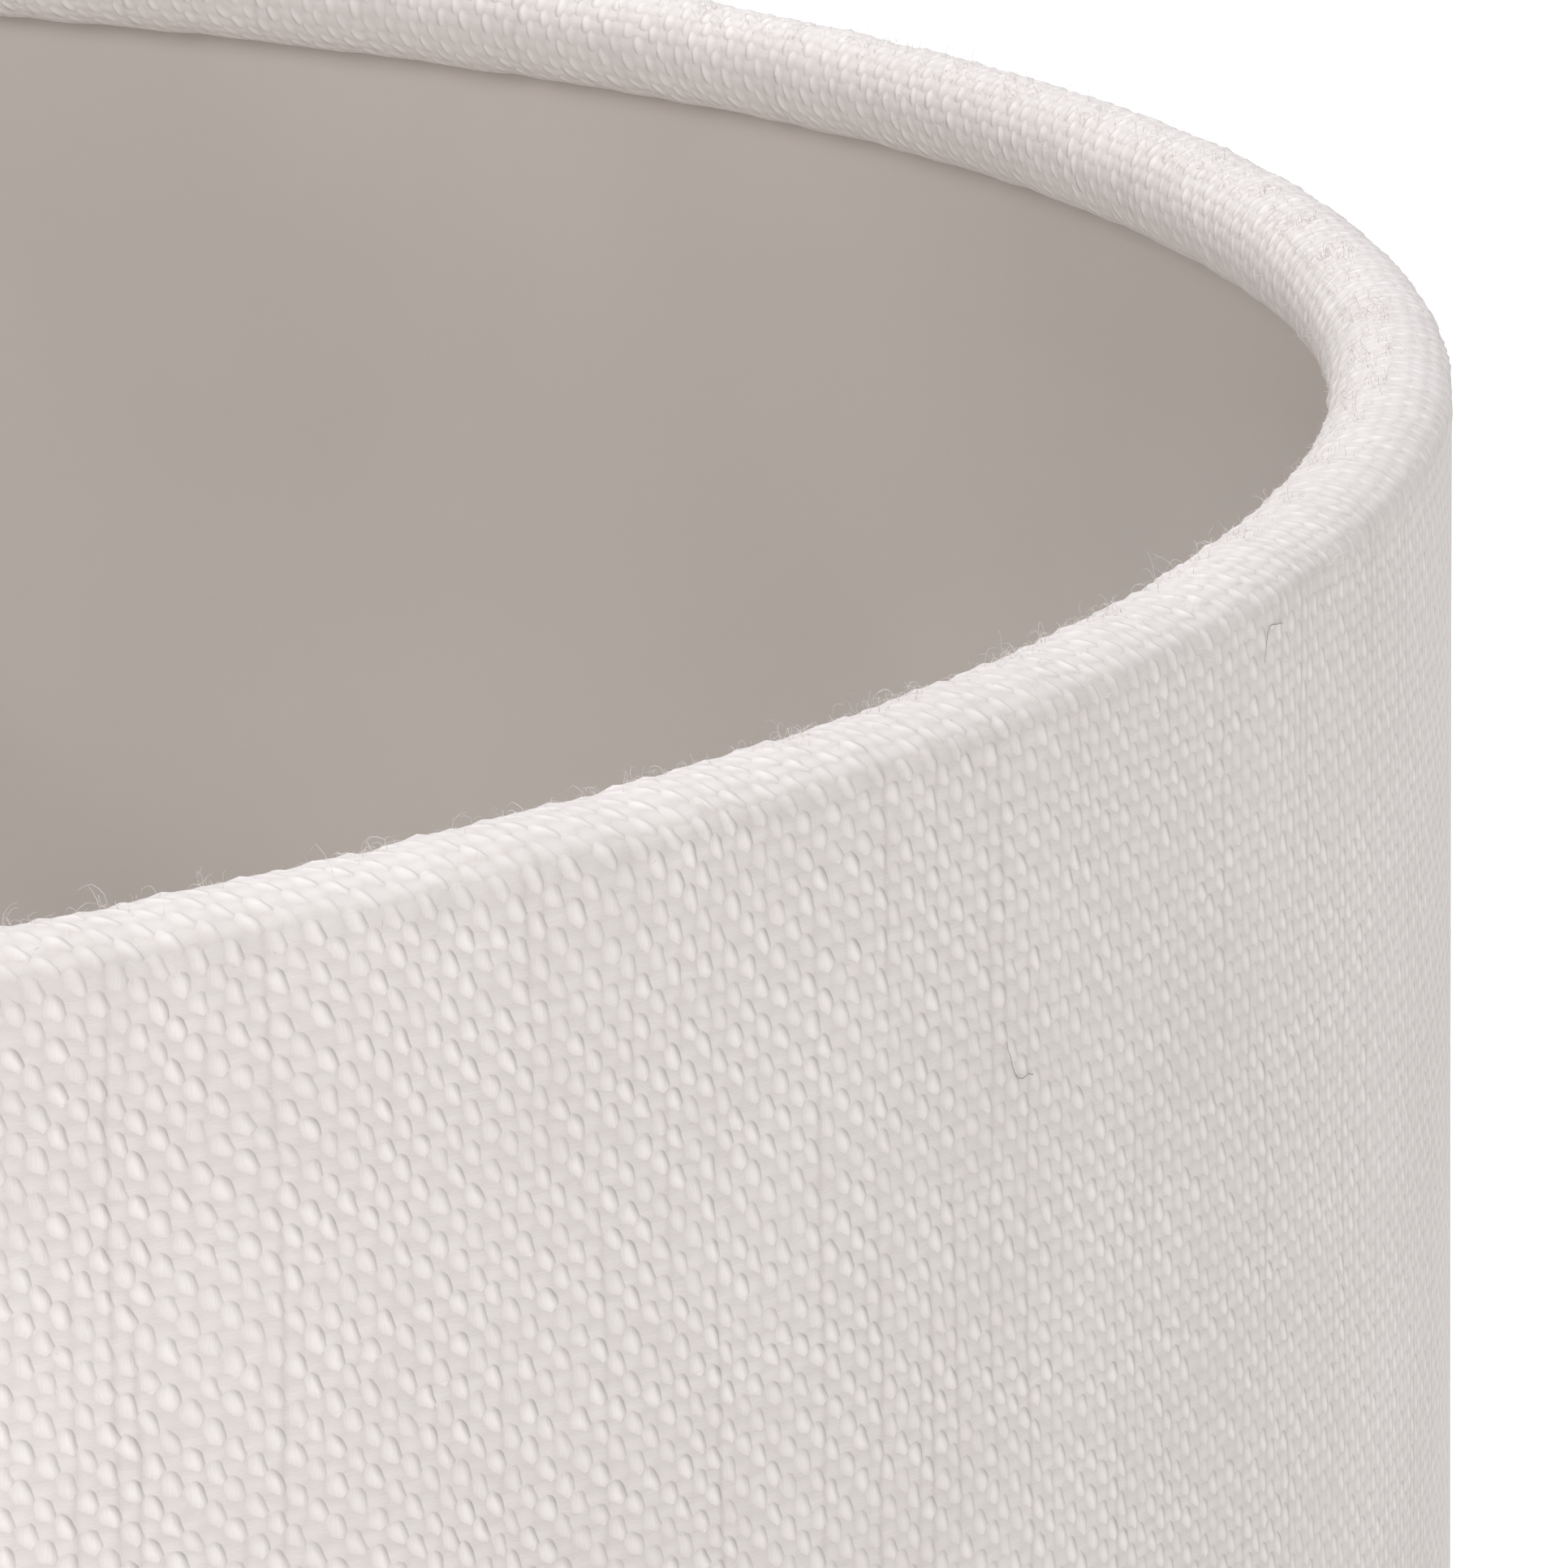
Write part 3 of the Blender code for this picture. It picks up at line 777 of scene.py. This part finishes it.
def curl_path(rng, place, heading, away, reach, count, curl):
    """Points along a curling line, which turns by up to curl radians in all and a little at random."""
    axis = np.cross(heading, away)
    axis /= np.linalg.norm(axis) + 1e-9
    bend = rng.choice((-1, 1)) * rng.uniform(0.4, 1) * curl / (count - 1)
    points = [place]
    for _ in range(count - 1):
        turn = Matrix.Rotation(bend + rng.normal(0, 0.35), 3, Vector(axis))
        heading = np.array(turn @ Vector(heading))
        place = place + heading * reach / (count - 1)
        points.append(place)
    return np.array(points)


def tube_mesh(name, paths, radius):
    """A mesh of thin three-sided tubes, one on each path, tapering to the tip and closed at both ends."""
    corners, faces = [], []
    for path in paths:
        count = len(path)
        heading = np.gradient(path, axis=0)
        heading /= np.linalg.norm(heading, axis=1)[:, None]
        side = np.cross(heading, [0.31, 0.52, 0.79])
        side /= np.linalg.norm(side, axis=1)[:, None]
        other = np.cross(heading, side)
        first = len(corners)
        for i in range(count):
            thick = radius * (1 - 0.5 * i / (count - 1))
            for k in range(3):
                turn = TAU * k / 3
                corners.append(path[i] + thick * (math.cos(turn) * side[i] + math.sin(turn) * other[i]))
        for i in range(count - 1):
            for k in range(3):
                a, b = first + 3 * i + k, first + 3 * i + (k + 1) % 3
                faces.append((a, b, b + 3, a + 3))
        last = first + 3 * (count - 1)
        faces += [(first + 2, first + 1, first), (last, last + 1, last + 2)]
    mesh = bpy.data.meshes.new(name)
    mesh.from_pydata([tuple(c) for c in corners], [], faces)
    mesh.shade_smooth()
    piece = bpy.data.objects.new(name, mesh)
    bpy.context.scene.collection.objects.link(piece)
    return piece


def make_fibres(sizes, colours):
    """Curled fibres on both rolls, tufts on the crest, fewer on the wall, and dark flecks of flax stem."""
    rng = np.random.default_rng(31)
    section = cover_section(sizes)
    flax = flax_fibre(colours)
    for name, count, places, thick in (
        ("rim_fibres", sizes.fibre_count, ("rim",), 1.0),
        ("crest_fibres", sizes.fibre_count * 5 // 7, ("crest",), 1.3),
        ("wall_fibres", sizes.fibre_count // 2, ("wall", "foot"), 1.0),
    ):
        paths = [fibre_path(rng, sizes, section, places[i % len(places)]) for i in range(count)]
        fibres = tube_mesh(name, paths, thick * sizes.fibre_diameter / 2)
        settle(fibres, name, flax, "shade", "linen")
    rng = np.random.default_rng(20570)
    flecks = []
    angles = (-22.8, -33, 20, 64, 110, 150, 190, 236, 290)
    heights = (158.05, 148, 90, 131, 60, 120, 75, 140, 40)
    for angle, height in zip(angles, heights):
        turn = math.radians(angle)
        radial = np.array([math.cos(turn), math.sin(turn), 0.0])
        along = np.array([-math.sin(turn), math.cos(turn), 0.0])
        place = radial * (SHADE_RADIUS + 0.07 * MM) + np.array([0, 0, height * MM])
        lean = rng.uniform(0, TAU)
        heading = math.cos(lean) * along + np.array([0, 0, math.sin(lean)])
        reach = rng.uniform(1.4, 2.4) * MM
        flecks.append(curl_path(rng, place, heading, np.cross(radial, heading), reach, 9, 1.9))
    fleck_piece = tube_mesh("linen_flecks", flecks, 0.9 * sizes.fibre_diameter)
    settle(fleck_piece, "linen_flecks", flax_stem(colours), "shade", "linen")


# Liner, rings and spider --------------------------------------------------------------------------


def make_liner(sizes, colours):
    """A sheet spun once round and a little more, with its end stepped inwards under its start."""
    radius = SHADE_RADIUS - sizes.cloth_thickness - 0.3 * MM
    start = SEAM_ANGLE - 6 * MM / SHADE_RADIUS
    lap = 12 * MM / SHADE_RADIUS
    ramp = 5 * MM / SHADE_RADIUS
    step = sizes.liner_thickness + 0.5 * MM
    deselect_all()
    bpy.ops.mesh.primitive_plane_add(size=1, location=(0, 0, 0))
    liner = bpy.context.object
    edit = bmesh.new()
    edit.from_mesh(liner.data)
    x, y = radius * math.cos(start), radius * math.sin(start)
    spare = [v for v in edit.verts if v.co.x < 0]
    bmesh.ops.delete(edit, geom=spare, context="VERTS")
    low, high = sorted(edit.verts, key=lambda v: v.co.y)
    low.co, high.co = (x, y, LINER_LOW.z - TUCK), (x, y, LINER_HIGH.z + TUCK)
    edit.to_mesh(liner.data)
    edit.free()
    take_up(liner)
    bpy.ops.object.mode_set(mode="EDIT")
    bpy.ops.mesh.select_all(action="SELECT")
    bpy.ops.mesh.subdivide(number_cuts=15)
    bpy.ops.mesh.spin(steps=300, angle=TAU + lap, center=(0, 0, 0), axis=(0, 0, 1))
    bpy.ops.mesh.select_all(action="SELECT")
    bpy.ops.mesh.normals_make_consistent(inside=False)
    bpy.ops.object.mode_set(mode="OBJECT")
    shift_lap(liner, start, ramp, lap, step)
    solid = liner.modifiers.new("Thickness", "SOLIDIFY")
    solid.thickness = sizes.liner_thickness
    solid.offset = -1
    bpy.ops.object.modifier_apply(modifier="Thickness")
    bpy.ops.object.shade_smooth_by_angle(angle=math.radians(40))
    settle(liner, "liner_tube", liner_film(colours), "shade", "liner", "liner_sheet")
    return liner


def shift_lap(liner, start, ramp, lap, step):
    """Moves the sheet's last stretch inwards, under the first. The spin leaves its rows in order."""
    count = len(liner.data.vertices)
    per_row = 17
    rows = count // per_row
    for vertex in liner.data.vertices:
        turned = (math.atan2(vertex.co.y, vertex.co.x) - start) % TAU
        late = vertex.index >= per_row * (rows // 2)
        turned += TAU if late and turned < lap * 1.5 else 0
        share = min(max((turned - (TAU - ramp)) / ramp, 0), 1) if late else 0
        share = share * share * (3 - 2 * share)
        radius = math.hypot(vertex.co.x, vertex.co.y)
        vertex.co.x *= (radius - step * share) / radius
        vertex.co.y *= (radius - step * share) / radius
        middle = (LINER_LOW.z + LINER_HIGH.z) / 2
        vertex.co.z += (middle - vertex.co.z) * share * TUCK / (LINER_HIGH.z + TUCK - middle)


def make_rings(colours):
    """The two ring wires. Returns their finish, which the spider and the fitter share."""
    steel = coated_steel(colours)
    for name, node, height in (
        ("top_ring_wire", "top_ring", TOP_ROLL_Z),
        ("bottom_ring_wire", "bottom_ring", BOTTOM_ROLL_Z),
    ):
        deselect_all()
        bpy.ops.mesh.primitive_torus_add(
            location=(0, 0, height),
            major_segments=240,
            minor_segments=12,
            major_radius=ROLL_CENTRE,
            minor_radius=RING_WIRE_RADIUS,
        )
        ring = bpy.context.object
        weld_ring(ring)
        bpy.ops.object.shade_smooth()
        settle(ring, name, steel, "shade", "enamelled_wire", node)
    return steel


def weld_ring(ring):
    """Swells the wire a little where its two ends are butt-welded, near the seam."""
    place = Vector((ROLL_CENTRE * math.cos(SEAM_ANGLE), ROLL_CENTRE * math.sin(SEAM_ANGLE), 0))
    for vertex in ring.data.vertices:
        near = math.exp(-(((vertex.co - place).length / (2.5 * MM)) ** 2))
        radius = math.hypot(vertex.co.x, vertex.co.y)
        centre = Vector((vertex.co.x, vertex.co.y, 0)) * ROLL_CENTRE / radius
        vertex.co = centre + (vertex.co - centre) * (1 + 0.12 * near)


def arm_drop_radius(sizes):
    """How far from the axis an arm's wire drops, just clear of the liner."""
    return SHADE_RADIUS - sizes.cloth_thickness - 0.6 * MM - sizes.liner_thickness - sizes.arm_wire_radius


def make_arm(sizes, steel, number, angle):
    """One wire: a drop from the ring, a bend, and a run to the fitter with its tip pressed flat."""
    radius = sizes.arm_wire_radius
    bend = 6 * MM
    drop_at = arm_drop_radius(sizes)
    top = ARM_HIGH.z
    run_z = ARM_LOW.z + radius
    deselect_all()
    depth = top - run_z - bend
    bpy.ops.mesh.primitive_cylinder_add(
        vertices=20, radius=radius, depth=depth, location=(drop_at, 0, top - depth / 2)
    )
    arm = bpy.context.object
    bpy.ops.object.transform_apply(location=True)
    select_faces(arm, lambda face: face.normal.z < -0.9)
    bpy.ops.object.mode_set(mode="EDIT")
    hub = (drop_at - bend, 0, run_z + bend)
    bpy.ops.mesh.spin(steps=14, angle=math.radians(90), center=hub, axis=(0, -1, 0))
    tip = FITTER_HIGH.x - 4.5 * MM
    press = FITTER_HIGH.x - 1 * MM
    straight = drop_at - bend - press - 2.5 * MM
    bpy.ops.mesh.extrude_region_move(TRANSFORM_OT_translate={"value": (-straight, 0, 0)})
    bpy.ops.mesh.extrude_region_move(TRANSFORM_OT_translate={"value": (-2.5 * MM, 0, 0.5 * MM)})
    bpy.ops.transform.resize(value=(1, 1.35, 0.72), center_override=(press, 0, run_z + 0.5 * MM))
    bpy.ops.mesh.extrude_region_move(TRANSFORM_OT_translate={"value": (tip - press, 0, 0)})
    bpy.ops.object.mode_set(mode="OBJECT")
    bevel = arm.modifiers.new("Ends", "BEVEL")
    bevel.width = 0.25 * MM
    bevel.segments = 3
    bevel.limit_method = "ANGLE"
    bevel.angle_limit = math.radians(50)
    bpy.ops.object.modifier_apply(modifier="Ends")
    arm.rotation_euler.z = angle
    bpy.ops.object.shade_smooth_by_angle(angle=math.radians(50))
    return settle(arm, f"spider_wire_{number}", steel, "shade", "enamelled_wire", f"spider_arm_{number}")


def select_faces(piece, wanted):
    """Selects a mesh's faces by a test, and nothing else."""
    take_up(piece)
    mesh = piece.data
    for face in mesh.polygons:
        face.select = bool(wanted(face))
    for edge in mesh.edges:
        edge.select = False
    for vertex in mesh.vertices:
        vertex.select = False
    for face in mesh.polygons:
        if face.select:
            for index in face.vertices:
                mesh.vertices[index].select = True
    edges = {tuple(sorted(key)) for face in mesh.polygons if face.select for key in face.edge_keys}
    for edge in mesh.edges:
        edge.select = tuple(sorted(edge.key)) in edges


def make_weld(name, place, size, steel, angle, seed):
    """A weld bead: a flattened ball with a few soft lumps."""
    deselect_all()
    bpy.ops.mesh.primitive_ico_sphere_add(subdivisions=4, radius=1, location=(0, 0, 0))
    bead = bpy.context.object
    rng = np.random.default_rng(seed)
    directions = rng.normal(0, 1, (6, 3))
    for vertex in bead.data.vertices:
        push = sum(math.sin(3 * vertex.co.dot(Vector(d))) for d in directions) / 6
        vertex.co *= 1 + 0.10 * push
    bead.scale = size
    bead.rotation_euler.z = angle
    bead.location = place
    bpy.ops.object.shade_smooth()
    return settle(bead, name, steel, "shade", "enamelled_wire")


def make_spider(sizes, steel):
    """The three wires and the weld beads at both ends of each."""
    drop_at = arm_drop_radius(sizes)
    for number, angle in enumerate(ARM_ANGLES, start=1):
        make_arm(sizes, steel, number, angle)
        outward = Vector((math.cos(angle), math.sin(angle), 0))
        top = outward * (drop_at + 0.1 * MM) + Vector((0, 0, ARM_HIGH.z + 0.1 * MM))
        make_weld(f"ring_weld_{number}", top, (1.35 * MM, 1.7 * MM, 0.75 * MM), steel, angle, 40 + number)
        inner = outward * (FITTER_HIGH.x - 1.6 * MM) + Vector((0, 0, FITTER_LOW.z - 0.35 * MM))
        make_weld(f"fitter_weld_{number}", inner, (2.3 * MM, 2.0 * MM, 0.7 * MM), steel, angle, 50 + number)


# Fitter and reducer -------------------------------------------------------------------------------


def inset_selected(amount, drop=0.0):
    """Insets the selected faces, and then extrudes them up or down if drop isn't 0."""
    bpy.ops.mesh.inset(thickness=amount, depth=0)
    if drop:
        bpy.ops.mesh.extrude_region_move(TRANSFORM_OT_translate={"value": (0, 0, drop)})


def make_fitter(steel):
    """A stamped washer with a shallow seat round its hole and rounded edges."""
    outer = FITTER_HIGH.x
    top, bottom = FITTER_HIGH.z, FITTER_LOW.z
    hole = 21 * MM
    seat = 24.3 * MM
    seat_depth = 0.4 * MM
    deselect_all()
    bpy.ops.mesh.primitive_cylinder_add(
        vertices=128, radius=outer, depth=top - bottom, location=(0, 0, (top + bottom) / 2)
    )
    fitter = bpy.context.object
    bpy.ops.object.transform_apply(location=True)
    select_faces(fitter, lambda face: face.normal.z > 0.9)
    bpy.ops.object.mode_set(mode="EDIT")
    inset_selected(outer - seat, -seat_depth)
    inset_selected(seat - hole)
    bpy.ops.object.mode_set(mode="OBJECT")
    select_faces(fitter, lambda face: face.normal.z < -0.9)
    bpy.ops.object.mode_set(mode="EDIT")
    inset_selected(outer - hole)
    bpy.ops.object.mode_set(mode="OBJECT")
    select_faces(fitter, lambda face: abs(face.normal.z) > 0.9 and len(face.vertices) > 4)
    bpy.ops.object.mode_set(mode="EDIT")
    bpy.ops.mesh.bridge_edge_loops()
    bpy.ops.object.mode_set(mode="OBJECT")
    bevel = fitter.modifiers.new("Stamped edges", "BEVEL")
    bevel.width = 0.3 * MM
    bevel.segments = 3
    bevel.limit_method = "ANGLE"
    bevel.angle_limit = math.radians(40)
    take_up(fitter)
    bpy.ops.object.modifier_apply(modifier="Stamped edges")
    bpy.ops.object.shade_smooth_by_angle(angle=math.radians(35))
    return settle(fitter, "fitter_washer", steel, "shade", "enamelled_wire", "fitter_ring")


def make_reducer(colours):
    """A moulded flange with a raised lip round its hole, and a skirt below that centres it."""
    flange = REDUCER_HIGH.x
    flange_bottom = FITTER_HIGH.z - 0.1 * MM
    flange_top = flange_bottom + 1.2 * MM
    lip_top = REDUCER_HIGH.z
    hole = 14.5 * MM
    lip = hole + 1.2 * MM
    skirt_out = 20.7 * MM
    skirt_in = skirt_out - 1.4 * MM
    deselect_all()
    bpy.ops.mesh.primitive_cylinder_add(
        vertices=128,
        radius=flange,
        depth=flange_top - flange_bottom,
        location=(0, 0, (flange_top + flange_bottom) / 2),
    )
    reducer = bpy.context.object
    bpy.ops.object.transform_apply(location=True)
    select_faces(reducer, lambda face: face.normal.z > 0.9)
    bpy.ops.object.mode_set(mode="EDIT")
    inset_selected(flange - lip, lip_top - flange_top)
    inset_selected(lip - hole)
    bpy.ops.object.mode_set(mode="OBJECT")
    select_faces(reducer, lambda face: face.normal.z < -0.9)
    bpy.ops.object.mode_set(mode="EDIT")
    inset_selected(flange - skirt_out, REDUCER_LOW.z - flange_bottom)
    inset_selected(skirt_out - skirt_in, flange_bottom - REDUCER_LOW.z)
    inset_selected(skirt_in - hole)
    bpy.ops.object.mode_set(mode="OBJECT")
    select_faces(reducer, lambda face: abs(face.normal.z) > 0.9 and len(face.vertices) > 4)
    bpy.ops.object.mode_set(mode="EDIT")
    bpy.ops.mesh.bridge_edge_loops()
    bpy.ops.object.mode_set(mode="OBJECT")
    bevel = reducer.modifiers.new("Moulded edges", "BEVEL")
    bevel.width = 0.28 * MM
    bevel.segments = 3
    bevel.limit_method = "ANGLE"
    bevel.angle_limit = math.radians(40)
    take_up(reducer)
    bpy.ops.object.modifier_apply(modifier="Moulded edges")
    bpy.ops.object.shade_smooth_by_angle(angle=math.radians(35))
    plastic = moulded_polypropylene(colours)
    return settle(reducer, "reducer_insert", plastic, "reducer", "moulded_plastic", "reducer_ring")


# Stage --------------------------------------------------------------------------------------------


def add_light(name, place, aim, size, power):
    """A round soft light of a size in metres and a power in watts, turned towards aim."""
    data = bpy.data.lights.new(name, "AREA")
    data.shape = "DISK"
    data.size = size
    data.energy = power
    light = bpy.data.objects.new(name, data)
    light.location = place
    light.rotation_euler = (Vector(aim) - Vector(place)).to_track_quat("-Z", "Y").to_euler()
    bpy.context.scene.collection.objects.link(light)
    return light


def make_camera():
    """A long lens close over the rim, looking down into the drum at 14 degrees, level to a degree."""
    data = bpy.data.cameras.new("camera")
    data.lens = 230
    data.sensor_width = 36
    data.clip_start = 0.01
    data.clip_end = 50
    camera = bpy.data.objects.new("camera", data)
    tilt = math.radians(14.34)
    roll = math.radians(0.84)
    right = Vector((1, 0, 0))
    down = Vector((0, -math.sin(tilt), -math.cos(tilt)))
    image_right = math.cos(roll) * right + math.sin(roll) * down
    image_up = math.sin(roll) * right - math.cos(roll) * down
    back = image_right.cross(image_up)
    turn = Matrix((image_right, image_up, back)).transposed().to_4x4()
    # It stands over the front right of the drum, by so many radii from the top roll's centre.
    place = Vector((0.7658, -3.4366, 0.7318)) * SHADE_RADIUS + Vector((0, 0, TOP_ROLL_Z))
    camera.matrix_world = Matrix.Translation(place) @ turn
    bpy.context.scene.collection.objects.link(camera)
    bpy.context.scene.camera = camera


def make_stage(colours):
    """A white floor, three soft lights, a pale sky and the camera."""
    deselect_all()
    place = (0, 0, -1.5 * PRESSED)
    bpy.ops.mesh.primitive_circle_add(vertices=96, radius=6, fill_type="NGON", location=place)
    floor = bpy.context.object
    floor.name = "floor"
    material, _, shader = new_material("white_sweep")
    shader.inputs["Base Color"].default_value = (*colours.floor, 1)
    shader.inputs["Roughness"].default_value = 0.9
    shader.inputs["Emission Color"].default_value = (1, 1, 1, 1)
    shader.inputs["Emission Strength"].default_value = 0.30
    floor.data.materials.append(material)
    world = bpy.data.worlds.new("studio")
    world.use_nodes = True
    background = world.node_tree.nodes["Background"]
    background.inputs["Color"].default_value = (1.0, 0.99, 0.98, 1)
    background.inputs["Strength"].default_value = 0.28
    bpy.context.scene.world = world
    overhead = add_light("overhead_softbox", (0.0, 0.4, 1.5), (0, 0, 0.1), 1.4, 19)
    overhead.data.color = (0.97, 0.99, 1.05)
    add_light("front_left_softbox", (-1.0, -1.5, 1.0), (0, 0, 0.1), 0.9, 13)
    add_light("front_softbox", (0.2, -2.0, 0.15), (0, 0, 0.1), 0.9, 12)
    bpy.context.scene.view_settings.view_transform = "Standard"
    make_camera()


# Operators ----------------------------------------------------------------------------------------


class LAMPSHADE_OT_cover(bpy.types.Operator):
    """Makes the linen cover, rolled over both rings"""

    bl_idname = "lampshade.cover"
    bl_label = "Linen cover"

    def execute(self, context):
        make_cover(context.scene.shade_sizes, context.scene.shade_colours)
        return {"FINISHED"}


class LAMPSHADE_OT_fibres(bpy.types.Operator):
    """Makes the loose fibres that stand off the cloth"""

    bl_idname = "lampshade.fibres"
    bl_label = "Loose fibres"

    def execute(self, context):
        make_fibres(context.scene.shade_sizes, context.scene.shade_colours)
        return {"FINISHED"}


class LAMPSHADE_OT_liner(bpy.types.Operator):
    """Makes the liner sheet with its lapped seam"""

    bl_idname = "lampshade.liner"
    bl_label = "Liner"

    def execute(self, context):
        make_liner(context.scene.shade_sizes, context.scene.shade_colours)
        return {"FINISHED"}


class LAMPSHADE_OT_metalwork(bpy.types.Operator):
    """Makes the two rings, the spider, its welds and the fitter washer"""

    bl_idname = "lampshade.metalwork"
    bl_label = "Rings, spider and fitter"

    def execute(self, context):
        sizes, colours = context.scene.shade_sizes, context.scene.shade_colours
        steel = make_rings(colours)
        make_spider(sizes, steel)
        make_fitter(steel)
        return {"FINISHED"}


class LAMPSHADE_OT_reducer(bpy.types.Operator):
    """Makes the plastic reducer ring"""

    bl_idname = "lampshade.reducer"
    bl_label = "Reducer ring"

    def execute(self, context):
        make_reducer(context.scene.shade_colours)
        return {"FINISHED"}


class LAMPSHADE_OT_tapes(bpy.types.Operator):
    """Gives the tapes of the frame their finish"""

    bl_idname = "lampshade.tapes"
    bl_label = "Tapes"

    def execute(self, context):
        tape = double_sided_tape(context.scene.shade_colours)
        for node in ("liner_seam_tape", "top_ring_tape", "bottom_ring_tape"):
            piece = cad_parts[node]
            piece.data.materials.clear()
            piece.data.materials.append(tape)
        return {"FINISHED"}


class LAMPSHADE_OT_stage(bpy.types.Operator):
    """Makes the floor, the lights and the camera"""

    bl_idname = "lampshade.stage"
    bl_label = "Stage"

    def execute(self, context):
        make_stage(context.scene.shade_colours)
        return {"FINISHED"}


class LAMPSHADE_PT_panel(bpy.types.Panel):
    """Lists the shade's pieces, sizes and colours"""

    bl_label = "Lamp Shade"
    bl_idname = "LAMPSHADE_PT_panel"
    bl_space_type = "VIEW_3D"
    bl_region_type = "UI"
    bl_category = "Lamp Shade"

    def draw(self, context):
        for operator in OPERATORS:
            self.layout.operator(operator.bl_idname)
        for group in (context.scene.shade_sizes, context.scene.shade_colours):
            box = self.layout.box()
            for name in group.__annotations__:
                box.prop(group, name)


OPERATORS = (
    LAMPSHADE_OT_metalwork,
    LAMPSHADE_OT_cover,
    LAMPSHADE_OT_fibres,
    LAMPSHADE_OT_liner,
    LAMPSHADE_OT_reducer,
    LAMPSHADE_OT_tapes,
    LAMPSHADE_OT_stage,
)
CLASSES = (ShadeSizes, ShadeColours, *OPERATORS, LAMPSHADE_PT_panel)


def register():
    """Adds the classes and the scene's sizes and colours."""
    for cls in CLASSES:
        bpy.utils.register_class(cls)
    bpy.types.Scene.shade_sizes = PointerProperty(type=ShadeSizes)
    bpy.types.Scene.shade_colours = PointerProperty(type=ShadeColours)


def unregister():
    """Takes them away again."""
    del bpy.types.Scene.shade_colours
    del bpy.types.Scene.shade_sizes
    for cls in reversed(CLASSES):
        bpy.utils.unregister_class(cls)


def main():
    """Makes the shade and its stage."""
    register()
    bpy.ops.lampshade.metalwork()
    bpy.ops.lampshade.cover()
    bpy.ops.lampshade.fibres()
    bpy.ops.lampshade.liner()
    bpy.ops.lampshade.reducer()
    bpy.ops.lampshade.tapes()
    bpy.ops.lampshade.stage()


if __name__ == "__main__":
    main()
